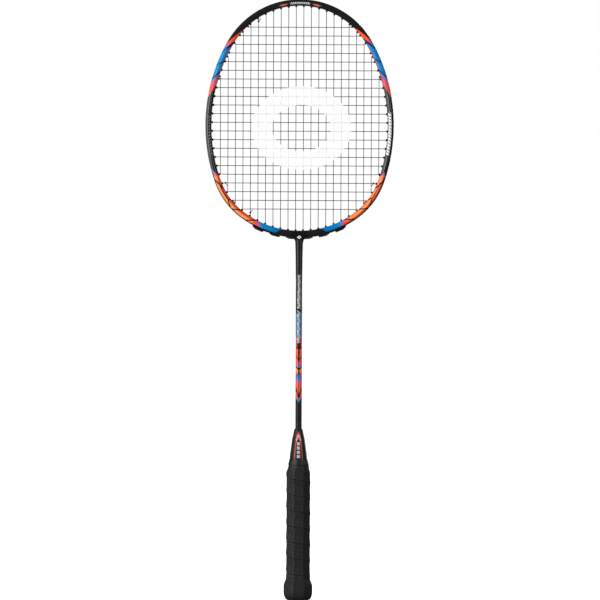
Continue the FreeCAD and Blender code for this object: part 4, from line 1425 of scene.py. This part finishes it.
    def _tie(self, end: StringEnd, side: int, y: float, anchor: list[np.ndarray]) -> list[np.ndarray]:
        """Last points of a string that comes back in and is knotted to its anchor string.

        Args:
            end: The end that it comes in by.
            side: +1 on the right, -1 on the left.
            y: Its place across the racket's depth.
            anchor: The anchor string's mouth and the next of its points.

        Returns:
            The mouth and the knot's place.
        """
        seat = anchor[0] + unit(anchor[1] - anchor[0]) * self.knot_start
        wrap = math.copysign(2 * self.radius + 0.05, y)
        return [self._lift(end.mouth, side, y), seat + (0, wrap, 0)]

    def main_route(self) -> list[np.ndarray]:
        """The long string, from its left knot over the crown to its right knot."""
        anchor = self.cross_run(self.tied_cross)
        left = self._half_route(-1, anchor[:2])
        return left[::-1] + self._half_route(1, anchor[:-3:-1])

    def _half_route(self, side: int, anchor: list[np.ndarray]) -> list[np.ndarray]:
        """The long string on one side, from the crown's middle to its knot."""
        y, tie = self.parting, self.ends["side", self.tied_cross]
        route = [self._lift(self._outlet(self.ends["top", 0]), side, y)]
        for main in range(self.count):
            run = self.main_run(main, side)
            route += run if main % 2 == 0 else run[::-1]
            place = "bottom" if main % 2 == 0 else "top"
            if main + 1 < self.count:
                route += self._outside(self.ends[place, main], self.ends[place, main + 1], side, y)
        route += self._outside(self.ends["bottom", self.count - 1], tie, side, y)
        return route + self._tie(tie, side, y, anchor)

    def cross_route(self) -> list[np.ndarray]:
        """The cross string, from its knot at the upper left to the one at the lower left."""
        first, last = self.cross_anchors
        y, top, bottom = -self.parting, self.ends["top", first], self.ends["bottom", last]
        route = self._tie(top, -1, y, self.main_run(first, -1)[:2])[::-1]
        route += self._outside(top, self.ends["side", 0], -1, y)
        for cross in range(self.cross_count):
            run, side = self.cross_run(cross), 1 if cross % 2 == 0 else -1
            route += run if side > 0 else run[::-1]
            if cross + 1 < self.cross_count:
                here, following = self.ends["side", cross], self.ends["side", cross + 1]
                route += self._outside(here, following, side, y)
        route += self._outside(self.ends["side", self.cross_count - 1], bottom, -1, y)
        return route + self._tie(bottom, -1, y, self.main_run(last, -1)[:-3:-1])

    def tube(self, route: Sequence[np.ndarray]) -> Surface:
        """Round string along a route whose corners are turned into parabolas.

        At a corner P between A and B the parabola is (1-k)^2 A + 2k(1-k) P + k^2 B, where A
        and B lie a reach along each run.  Rings stand across the path on axes that are
        carried square to it: one across the racket's depth, one in the string bed's plane.

        Args:
            route: The route's corners.

        Returns:
            The grid, with UVs of (turn round the string, run along it).
        """
        points = np.array(route)
        keep = np.concatenate([[True], np.linalg.norm(np.diff(points, axis=0), axis=1) > 1e-3])
        points = points[keep]
        back, ahead = points[:-2] - points[1:-1], points[2:] - points[1:-1]
        runs = np.minimum(np.linalg.norm(back, axis=1), np.linalg.norm(ahead, axis=1))[:, None]
        bend = np.arccos(np.clip((-unit(back) * unit(ahead)).sum(axis=1), -1, 1))[:, None]
        radius = np.where(bend > self.tight_bend, *self.corner_radii)
        reach = np.minimum(radius * np.tan(bend / 2), 0.45 * runs) + 1e-3
        first, last = points[1:-1] + unit(back) * reach, points[1:-1] + unit(ahead) * reach
        k = np.linspace(0, 1, 5)[None, :, None]
        arcs = ((1 - k) ** 2 * first[:, None] + 2 * k * (1 - k) * points[1:-1, None]
                + k ** 2 * last[:, None])
        path = np.vstack([points[:1], arcs.reshape(-1, 3), points[-1:]])
        path = path[np.concatenate([[True], np.linalg.norm(np.diff(path, axis=0), axis=1) > 1e-4])]
        tangent = unit(np.gradient(path, axis=0))
        depthwise = np.array([0.0, 1.0, 0.0])
        flatwise = unit(np.cross(tangent, depthwise))
        upright = np.cross(flatwise, tangent)
        turn = np.linspace(0, TURN, self.sides + 1)
        ring = flatwise[:, None] * np.cos(turn)[:-1, None] + upright[:, None] * np.sin(turn)[:-1, None]
        run = np.concatenate([[0.0], np.cumsum(np.linalg.norm(np.diff(path, axis=0), axis=1))])
        uv = np.stack([np.broadcast_to(turn / TURN, (len(path), len(turn))),
                       np.broadcast_to(run[:, None], (len(path), len(turn)))], axis=-1)
        return Surface(path[:, None] + ring * self.radius, capped=True, uv=uv)

    def make(self) -> None:
        """Build both strings and give them and their knots their nylon."""
        centre = (self.mark[0], self.outline.top - self.mark[1])
        material = StringNylon("string_nylon", centre).build()
        for name, route in (("main", self.main_route()), ("cross", self.cross_route())):
            Piece(f"{name}_run", [f"{name}_string"], "string_nylon").make([self.tube(route)], material)
        knots = StringNylon("knot_nylon", centre, on_run=False).build()
        for place in ("upper", "lower", "left", "right"):
            dress_node(f"knot_{place}", knots)


# ---------------------------------------------------------------- shaft and cone

@dataclass(frozen=True)
class Shaft:
    """Slim round carbon tube."""

    bottom: float
    top: float
    radius: float = 3.6
    bore: float = 2.4
    columns: int = 96

    def make(self) -> None:
        """Build and paint the shaft: a wall turned about the axis, with eased ends."""
        ease = 0.15
        heights = np.linspace(self.bottom + ease, self.top - ease, 60)
        outer = np.stack([np.full(len(heights), self.radius), heights], axis=-1)
        loop = np.vstack([[(self.bore, self.bottom), (self.radius - ease, self.bottom)], outer,
                          [(self.radius - ease, self.top), (self.bore, self.top),
                           (self.bore, self.bottom)]])
        material = ShaftLacquer(self.radius).build()
        Piece("shaft_tube", ["shaft"], "frame_lacquer").make(
            [turned_profile(loop, self.columns)], material, weld=True)


@dataclass(frozen=True)
class Cone:
    """Tapered cap from the shaft down over the top of the handle."""

    top: float
    bottom: float
    shaft_radius: float = 3.6
    wall: float = 1.5
    columns: int = 128

    def make(self) -> None:
        """Build and paint the cone: a wall turned about the axis, with a rounded lip."""
        r, z = self.shaft_radius, self.top
        skin = flowing([(r + 0.1, z), (r + 0.5, z), (r + 0.72, z - 0.14), (r + 1.5, z - 2.3),
                        (r + 1.9, z - 4.4), (r + 2.75, z - 8.6), (r + 3.65, z - 12.9),
                        (r + 4.85, z - 22.0), (r + 6.0, z - 30.6), (r + 6.2, z - 35.2)], 8)
        skirt = [(r + 6.2, z - 40.0), (r + 6.2, self.bottom), (r + 6.2 - self.wall, self.bottom)]
        lining = [(r + 6.2 - self.wall, z - 35.2), (r + 4.85 - self.wall, z - 22.0),
                  (r + 3.65 - self.wall, z - 12.9), (r + 0.1, z - 6.0), (r + 0.1, z)]
        loop = np.vstack([skin, skirt, lining])
        Piece("cone_cap", ["cone"], "cone_plastic").make(
            [turned_profile(loop, self.columns)], ConePlastic().build(), weld=True)


# ---------------------------------------------------------------- handle

@dataclass(frozen=True)
class HandleForm:
    """Outer form of the padded handle: an octagon that flares over the butt.

    Attributes:
        flare_span: Heights between which the flare dies away.
        taper_start, taper_top: Heights at which the octagon starts to give way to a circle
            of top_radius, and has done so.
        under_top, under_reach: Height under which the butt is rounded under, and how far.
        under_radius, under_depth: Radii of the rounding's ellipse, along Z and across.
    """

    half_width: float = 13.2
    half_depth: float = 11.6
    bevel: float = 7.9
    corner: float = 2.6
    flare: float = 2.9
    flare_span: tuple[float, float] = (16.2, 25.4)
    top_radius: float = 11.2
    taper_top: float = 152.4
    taper_start: float = 143.0
    under_top: float = 11.0
    under_reach: float = 9.8
    under_radius: float = 10.4
    under_depth: float = 4.4

    def outline(self) -> np.ndarray:
        """Dense outline (x, y) from the front's middle towards +X, and round."""
        w, d, b = self.half_width, self.half_depth, self.bevel
        corners = [(w - b, -d), (w, b - d), (w, d - b), (w - b, d)]
        corners += [(-x, y) for x, y in reversed(corners)]
        rounded = rounded_polygon(corners, [self.corner] * 8, 12)
        middle = np.array([[0.0, -d]])
        return resampled(np.vstack([middle, rounded]), np.linspace(0, 1, 1441)[:-1])

    def length(self) -> float:
        """Length round the handle."""
        ring = self.outline()
        return float(np.linalg.norm(ring - np.roll(ring, 1, axis=0), axis=1).sum())

    def growth(self, z: np.ndarray) -> np.ndarray:
        """How far the surface stands outside the octagon: the flare, rounded under at the butt."""
        flare = 1 - smooth(z, *self.flare_span)
        fall = np.clip(self.under_top - z, 0, self.under_reach) / self.under_radius
        under = 1 - np.sqrt(np.clip(1 - fall ** 2, 0, 1))
        return self.flare * flare - self.under_depth * under

    def place(self, share: np.ndarray, z: np.ndarray, lift: np.ndarray) -> np.ndarray:
        """Points on the handle.

        A point is base + normal * (growth + lift) at a share of the way round; towards the
        top the octagon gives way to a circle.

        Args:
            share: Share of the way round, from the front's middle towards +X.
            z: Heights.
            lift: How far the points stand off the form.

        Returns:
            Array of points.
        """
        ring = self.outline()
        ahead = np.roll(ring, -2, axis=0) - np.roll(ring, 2, axis=0)
        normals = unit(np.stack([ahead[:, 1], -ahead[:, 0]], axis=-1))
        at = (share % 1.0) * len(ring)
        grid = np.arange(len(ring) + 1)
        x, y, nx, ny = (np.interp(at, grid, np.append(values, values[0]))
                        for values in (ring[:, 0], ring[:, 1], normals[:, 0], normals[:, 1]))
        out = self.growth(z) + lift
        x, y = x + nx * out, y + ny * out
        angle = np.arctan2(y, x)
        circular = smooth(z, self.taper_start, self.taper_top)
        radius = self.top_radius + lift
        x = x * (1 - circular) + radius * np.cos(angle) * circular
        y = y * (1 - circular) + radius * np.sin(angle) * circular
        return np.stack([x, y, z], axis=-1)


@dataclass(frozen=True)
class Wrap:
    """Perforated tape wound up the handle, each turn lapping over the one below.

    Attributes:
        form: The handle under it.
        pitch: Rise of one turn.
        holes: Perforations in a row along one turn of the tape.
        hole_rows: Their heights above the turn's lower edge.
        hole_radius: Radius of a perforation.
        hole_lines: Places of the grid lines across a perforation, from its middle.
        lap: How far the lower edge stands proud.
        start: Height of the tape's first edge over the butt.
        first: Height from which the turns are counted, more than a turn under the first edge.
        top: Where the winding stops.
        hem: How far each millimetre beyond the first edge and the top is folded back inside.
        sway: How far the turns flatten across the front and back and steepen at the sides.
        per_hole: Grid columns for each perforation.
        tuck: How far under the wrap's foot the butt's band begins.
    """

    form: HandleForm
    pitch: float = 17.7
    holes: int = 14
    hole_rows: tuple[float, float, float] = (3.4, 7.7, 12.0)
    hole_radius: float = 0.8
    hole_lines: tuple[float, ...] = (-0.55, -0.32, 0.0, 0.32, 0.55)
    lap: float = 0.5
    start: float = 18.6
    first: float = -6.0
    top: float = 152.4
    hem: float = 0.03
    sway: float = 0.75
    per_hole: int = 11
    tuck: float = 1.6

    def _spacing(self) -> float:
        """Length of tape from one perforation to the next."""
        return self.form.length() / (self.holes + 1)

    def edge(self, share: np.ndarray) -> np.ndarray:
        """Height of the first turn's edge: lower at the front and back, higher at the sides."""
        return self.start - 1.3 * np.cos(2 * TURN * share) + 0.35 * np.sin(TURN * share)

    def _rows(self) -> np.ndarray:
        """Grid rows of one turn, crowded at its edge and at the perforations."""
        crowded = (np.array(self.hole_rows)[:, None] + self.hole_lines).ravel()
        edge = np.array([0.0, 0.14, 0.34, 0.62, 1.0, 1.5, 2.1])
        fill = np.concatenate([np.linspace(a + 1.25, b - 1.25, 3)
                               for a, b in zip(self.hole_rows, self.hole_rows[1:])])
        rest = np.linspace(self.hole_rows[-1] + 1.3, self.pitch - 0.35, 7)
        return np.sort(np.concatenate([edge, crowded, fill, rest]))

    def _columns(self) -> np.ndarray:
        """Offsets of grid columns across one perforation's share of the tape."""
        near = np.array(self.hole_lines) + self.hole_lines[-1]
        rest = np.linspace(near[-1], self._spacing(), self.per_hole - len(near) + 2)[1:-1]
        return np.concatenate([near, rest])

    def surface(self) -> Surface:
        """The tape as one helical grid.

        With height h up the unwound tape, a grid line stands at run q + slant * h round the
        handle and at height h - pitch * run / length, so that a row shift of one turn closes
        the grid.  The lift falls from the lap's edge across the turn, and dips at each hole.
        """
        length, spacing = self.form.length(), self._spacing()
        slant = spacing / self.pitch
        rows, columns = self._rows(), self._columns()
        turns = math.ceil((self.top - self.first) / self.pitch) + 2
        unwound = (np.arange(turns)[:, None] * self.pitch + rows).ravel()[:, None] + self.first
        across = np.tile(rows, turns)[:, None]
        run = (np.arange(self.holes)[:, None] * spacing + columns).ravel()[None, :]
        step = np.tile(columns, self.holes)[None, :] - self.hole_lines[-1]
        around = run + slant * (unwound - self.first)
        share = around / length
        height = unwound - self.pitch * share + 0.35 * np.sin(around / 9.0)
        height = height + self.sway * np.sin(2 * TURN * share)
        edge = self.edge(share)
        lift, marks = self._lift(across, step, height, edge, share)
        under, over = np.maximum(edge - height, 0), np.maximum(height - self.top, 0)
        tucked = np.maximum(under, over)
        lift = lift - 0.9 * smooth(tucked, 0.0, 0.5) - 0.01 * tucked
        z = np.clip(height, edge, self.top) + self.hem * (under - over)
        points = self.form.place(share, z, lift)
        return Surface(points, row_shift=len(rows), marks=marks)

    def _lift(self, across: np.ndarray, step: np.ndarray, height: np.ndarray, edge: np.ndarray,
              share: np.ndarray) -> tuple[np.ndarray, dict[str, np.ndarray]]:
        """Height above the handle, and the masks that the leather reads.

        Args:
            across: Distance up the tape from its lower edge.
            step: Run from the last perforation's middle.
            height: Height over the butt.
            edge: Height of the tape's first edge there.
            share: Share of the way round.

        Returns:
            Lift in millimetres, and masks of the perforations, the lapped edge and its foot.
        """
        proud = smooth(across, 0.0, 0.62) * (1 - smooth(across, 1.2, 9.5) * 0.86)
        lap = self.lap * proud + 0 * step
        first = height < edge + self.pitch * 0.55
        lap = np.where(first, np.maximum(lap, self.lap * 0.8), lap)
        rows = np.array(self.hole_rows)
        nearest = np.min(np.abs(across[..., None] - rows), axis=-1)
        beside = np.minimum(np.abs(step), np.abs(self._spacing() - step))
        radial = np.hypot(nearest, beside)
        inside = (height > edge + 2.0) & (height < self.top - 4.0)
        hole = (1 - smooth(radial, 0.25, self.hole_radius)) * inside
        pucker = 0.1 * np.exp(-(radial / 1.2) ** 2) * inside
        wander = 0.07 * np.sin(share * 31 + height * 0.21) + 0.05 * np.sin(share * 57 - height * 0.37)
        lift = lap + wander - pucker - 0.42 * hole
        # The hole, rim and foot masks also carry the leather's painted shade in the perforations, its
        # painted highlight on each lapped edge and its painted shade at each lap's foot.
        rim = smooth(across, 0.1, 0.6) * (1 - smooth(across, 0.9, 2.2)) + 0 * step
        foot = 1 - smooth(np.minimum(across, self.pitch - across), 0.15, 0.6) + 0 * step
        return lift, {"hole": hole, "edge": rim, "seam": 0.7 * foot * (height > edge)}

    def butt_surface(self, bottom: float) -> Surface:
        """Smooth band of the tape's start, drawn tight over the flared butt."""
        share = np.linspace(0, 1, 200, endpoint=False)[None, :]
        rise = np.linspace(0, 1, 44)[:, None]
        z = bottom + (self.edge(share) + 0.8 - bottom) * rise
        crease = 0.05 * np.sin(share * 44 + z * 0.5) * smooth(z, bottom, bottom + 6)
        lift = 0.12 + crease - 0.9 * (1 - smooth(rise, 0.0, 0.05)) - 0.9 * smooth(rise, 0.97, 1.0)
        marks = {name: 0 * lift for name in ("hole", "edge", "seam")}
        return Surface(self.form.place(share + 0 * z, z, lift), marks=marks)

    def make(self, bottom: float) -> None:
        """Build the winding and the butt's band as one piece of tape."""
        material = GripLeather().build()
        surfaces = [self.surface(), self.butt_surface(bottom - self.tuck)]
        Piece("grip_tape", ["grip_wrap"], "grip_leather").make(surfaces, material, weld=True)


@dataclass(frozen=True)
class FinishingTape:
    """Thin band of vinyl that closes the top of the grip, its end lapped over."""

    bottom: float
    top: float
    low_radius: float = 11.5
    high_radius: float = 10.25
    inner: float = 9.75
    lap: float = 0.3

    def make(self) -> None:
        """Build the band: a thin wall turned about the axis, its top edge a little slanted."""
        rows = flowing([(self.low_radius - 0.35, 0.0), (self.low_radius, 0.06),
                        (self.low_radius - 0.1, 0.2), (self.high_radius + 0.35, 0.7),
                        (self.high_radius, 0.95), (self.high_radius - 0.25, 1.0),
                        (self.inner, 0.97)], 5)
        turn = np.linspace(0, TURN, 180, endpoint=False)[None, :]
        radius, rise = rows[:, :1], rows[:, 1:]
        overlap = self.lap * smooth(np.sin(turn - 0.6), 0.0, 0.12) * smooth(rise, 0.0, 0.15)
        wavy = 0.07 * np.sin(5 * turn + rise * 3) + 0.05 * np.sin(11 * turn - rise * 5)
        high = self.top + 0.1 + 0.3 * np.sin(turn + 0.5) + 0.12 * np.sin(7 * turn)
        z = self.bottom + (high - self.bottom) * rise
        out = radius + (overlap + wavy) * (rise < 0.99)
        points = np.stack([out * np.sin(turn), -out * np.cos(turn), z + 0 * turn], axis=-1)
        inner = np.stack([self.inner * np.sin(turn), -self.inner * np.cos(turn),
                          self.bottom + 0 * turn], axis=-1)
        points = np.concatenate([points, inner, points[:1]])
        vinyl = PlainFinish("finishing_vinyl", srgb(24, 24, 25), srgb(36, 36, 37), 0.6, 0.02, 0.42)
        Piece("closing_tape", ["finishing_tape"], "finishing_vinyl").make(
            [Surface(points)], vinyl.build(), weld=True)


@dataclass(frozen=True)
class Butt:
    """Cap under the handle, and the round disc in its end.

    The cap's flat end is at foot and the tape begins at its rim.  Above the rim its wall
    stands shoulder outwards from the form's outline, up to the base of its plug.
    """

    form: HandleForm
    foot: float
    rim: float
    disc_radius: float
    disc_height: float
    plug_radius: float = 6.95
    plug_top: float = 40.0
    plug_base: float = 26.0
    shoulder: float = -1.9

    @staticmethod
    def _round(stations: Sequence[tuple[float, float]], angle: np.ndarray) -> np.ndarray:
        """Rows of points (r cos a, r sin a, z) for stations (r, z) at the angles a."""
        rows = np.array(stations)
        radius, level = rows[:, :1], rows[:, 1:]
        return np.stack([radius * np.cos(angle), radius * np.sin(angle), level + 0 * angle], axis=-1)

    def cap_surface(self) -> Surface:
        """Cap as one closed loop of stations (inset from the handle's outline, or radius, z).

        The blend runs from the octagon at the rim to the round seat of the disc.
        """
        share = np.linspace(0, 1, 160, endpoint=False)[None, :]
        seat = self.disc_radius + 0.1
        octagon = [(0.9, self.rim), (0.55, 4.2), (0.35, 3.0), (0.5, 2.0), (1.05, 1.1), (2.0, 0.5),
                   (3.4, self.foot)]
        skin = flowing(octagon, 5)
        z, inset = skin[:, 1:], skin[:, :1]
        sides = self.form.place(share + 0 * z, z + 0 * share, 0.3 - inset + 0 * share)
        angle = np.arctan2(sides[-1, :, 1], sides[-1, :, 0])[None, :]
        inner = self._round([(seat + 0.6, self.foot), (seat, self.foot + 0.2), (seat, 1.3),
                             (0.0, 1.3)], angle)
        level = np.array([[self.rim], [self.plug_base]]) + 0 * share
        walls = self.form.place(share + 0 * level, level, self.shoulder + 0 * level)
        plug = self._round([(self.plug_radius, self.plug_base), (self.plug_radius, self.plug_top),
                            (0.0, self.plug_top)], angle)
        return Surface(np.concatenate([plug[::-1], walls[::-1], sides, inner]))

    def make(self) -> None:
        """Build and dress the cap and the disc."""
        plastic = PlainFinish("butt_plastic", srgb(20, 20, 21), srgb(33, 33, 34), 0.4, 0.02, 0.45)
        Piece("butt_shell", ["butt_cap"], "butt_plastic").make(
            [self.cap_surface()], plastic.build(), weld=True)
        r, h = self.disc_radius, self.disc_height
        profile = flowing([(0.0, 0.25), (2.0, 0.25), (2.6, 0.05), (3.2, 0.0), (5.2, 0.0), (5.7, 0.18),
                           (6.2, 0.0), (r - 0.6, 0.0), (r - 0.15, 0.12), (r, 0.45)], 5)
        profile[:, 1] = np.maximum(profile[:, 1], 0.0)
        loop = np.vstack([profile, [(r, h), (0.0, h)]])
        grey = PlainFinish("disc_plastic", srgb(104, 104, 106), srgb(128, 128, 130), 0.5, 0.015, 0.4)
        Piece("butt_plate", ["butt_disc"], "disc_plastic").make(
            [turned_profile(loop, 96)], grey.build(), weld=True)


# ---------------------------------------------------------------- kept nodes

def dress_node(name: str, material: bpy.types.Material) -> None:
    """Give one of the frame's own nodes a finish in all its slots."""
    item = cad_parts[name]
    for index in range(len(item.data.materials)):
        item.data.materials[index] = material
    log.info("%s: kept", name)


class Side(Enum):
    """Sides of the racket."""

    LEFT = "left"
    RIGHT = "right"


@dataclass(frozen=True)
class Fittings:
    """Moulded grommets, and the pieces hidden inside."""

    bands: tuple[str, ...] = ("crown", "shoulder", "upper_flank", "lower_flank", "quarter", "throat")

    def make(self) -> None:
        """Dress every fitting."""
        black = PlainFinish("grommet_nylon", srgb(16, 16, 17), srgb(30, 30, 31), 0.5, 0.01, 0.4).build()
        red = PlainFinish("start_grommet_nylon", srgb(92, 22, 24), srgb(122, 34, 34), 0.5, 0.01, 0.4)
        for band in self.bands:
            for side in Side:
                dress_node(f"{band}_grommets_{side.value}", black)
        dress_node("start_grommets", red.build())
        fibre = PlainFinish("joint_composite", srgb(22, 22, 23), srgb(52, 53, 55), 0.3, 0.03, 0.5,
                            (1, 1, 0.1))
        dress_node("tee_joint", fibre.build())
        wood = PlainFinish("core_wood", srgb(148, 108, 66), srgb(196, 156, 104), 0.5, 0.03, 0.6,
                           (1, 1, 0.04))
        dress_node("handle_core", wood.build())


# ---------------------------------------------------------------- studio

@dataclass(frozen=True)
class Softbox:
    """One rectangular light.

    Attributes:
        place: Where it stands, in metres.
        aim: What it points at, in metres.
        size: Width and height, in metres.
        power: Watts.
    """

    name: str
    place: tuple[float, float, float]
    aim: tuple[float, float, float]
    size: tuple[float, float]
    power: float

    def make(self) -> None:
        """Hang the light."""
        light = bpy.data.lights.new(self.name, "AREA")
        light.shape = "RECTANGLE"
        light.size, light.size_y = self.size
        light.energy = self.power
        item = bpy.data.objects.new(self.name, light)
        bpy.context.scene.collection.objects.link(item)
        item.location = self.place
        direction = np.array(self.aim) - np.array(self.place)
        yaw = math.atan2(direction[0], -direction[1])
        item.rotation_euler = (math.atan2(math.hypot(*direction[:2]), -direction[2]), 0, yaw + math.pi)


@dataclass(frozen=True)
class Studio:
    """Pale floor, white surroundings, soft lights and the camera.

    Attributes:
        middle: Place on the racket that the camera looks at.
        distance: How far away it stands.
        field: Width of what it sees at the racket.
        roll: How far it leans.
        ambient: Strength of the light from all round.
        floor_half: Half the floor's width.
    """

    middle: tuple[float, float, float]
    distance: float = 4.2
    field: float = 0.6737
    roll: float = math.radians(-0.22)
    ambient: float = 0.13
    floor_half: float = 30.0

    def make(self) -> None:
        """Set up everything that is not the racket."""
        self._floor()
        self._surroundings()
        self._camera()
        centre = (0.0, 0.0, self.middle[2])
        lights = [
            Softbox("key", (-1.95, -0.6, 0.6), centre, (1.1, 2.4), 14.0),
            Softbox("front_left", (-2.5, -2.3, 1.0), centre, (1.7, 1.7), 105.0),
            Softbox("front_right", (2.3, -2.3, 0.9), centre, (1.5, 1.5), 38.0),
            Softbox("back", (1.6, 2.6, 1.1), centre, (1.6, 1.6), 60.0),
        ]
        for light in lights:
            light.make()

    def _floor(self) -> None:
        """Large pale floor at the racket's foot."""
        half = self.floor_half
        mesh = bpy.data.meshes.new("floor")
        mesh.from_pydata([(-half, -half, 0), (half, -half, 0), (half, half, 0), (-half, half, 0)], [],
                         [(0, 1, 2, 3)])
        graph = Graph("floor_paint")
        colour = graph.mix(graph.noise(120.0), srgb(244, 244, 244), srgb(250, 250, 250))
        mesh.materials.append(graph.dress(Base_Color=colour, Roughness=0.9, Specular_IOR_Level=0.0,
                                          Emission_Color=(1.0, 1.0, 1.0), Emission_Strength=1.0))
        floor = bpy.data.objects.new("floor", mesh)
        floor.visible_diffuse = floor.visible_glossy = False
        bpy.context.scene.collection.objects.link(floor)
        floor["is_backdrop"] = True

    def _surroundings(self) -> None:
        """White backdrop that itself gives little light."""
        world = bpy.data.worlds.new("studio")
        world.use_nodes = True
        nodes, links = world.node_tree.nodes, world.node_tree.links
        seen, dim = nodes["Background"], nodes.new("ShaderNodeBackground")
        for back, strength in ((seen, 1.0), (dim, self.ambient)):
            back.inputs["Color"].default_value = (1.0, 1.0, 1.0, 1.0)
            back.inputs["Strength"].default_value = strength
        path, either = nodes.new("ShaderNodeLightPath"), nodes.new("ShaderNodeMixShader")
        links.new(path.outputs["Is Camera Ray"], either.inputs[0])
        links.new(dim.outputs[0], either.inputs[1])
        links.new(seen.outputs[0], either.inputs[2])
        links.new(either.outputs[0], nodes["World Output"].inputs["Surface"])
        bpy.context.scene.world = world
        bpy.context.scene.view_settings.view_transform = "Standard"

    def _camera(self) -> None:
        """Long lens, level, looking along +Y at the racket's middle."""
        data = bpy.data.cameras.new("camera")
        data.sensor_width = 36.0
        data.lens = data.sensor_width * self.distance / self.field
        data.clip_end = 200.0
        item = bpy.data.objects.new("camera", data)
        bpy.context.scene.collection.objects.link(item)
        item.location = (self.middle[0], self.middle[1] - self.distance, self.middle[2])
        item.rotation_euler = (math.pi / 2, self.roll, 0)
        bpy.context.scene.camera = item


# ---------------------------------------------------------------- assembly

def height_range(node: str) -> tuple[float, float]:
    """Lowest and highest place of a frame node, in millimetres."""
    low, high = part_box(node)
    return low.z / MM, high.z / MM


def main() -> None:
    """Build the racket piece by piece, then the studio round it."""
    logging.basicConfig(level=logging.INFO, format="%(message)s")
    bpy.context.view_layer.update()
    outline = Outline(top=height_range("head_frame")[1])
    tube = HeadTube(outline)
    tube.make()
    Throat(tube).make()
    StringBed(outline).make()
    Shaft(*height_range("shaft")).make()
    cone_bottom, cone_top = height_range("cone")
    Cone(cone_top, cone_bottom).make()
    form = HandleForm()
    cap_foot, _ = height_range("butt_cap")
    wrap_bottom, _ = height_range("grip_wrap")
    Wrap(form).make(wrap_bottom)
    FinishingTape(*height_range("finishing_tape")).make()
    _, disc_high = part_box("butt_disc")
    Butt(form, cap_foot, wrap_bottom, disc_high.x / MM, disc_high.z / MM).make()
    Fittings().make()
    low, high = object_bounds()
    aside = 0.0011
    Studio(middle=(aside, 0.0, (low.z + high.z) / 2)).make()
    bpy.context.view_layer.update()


if __name__ == "__main__":
    main()
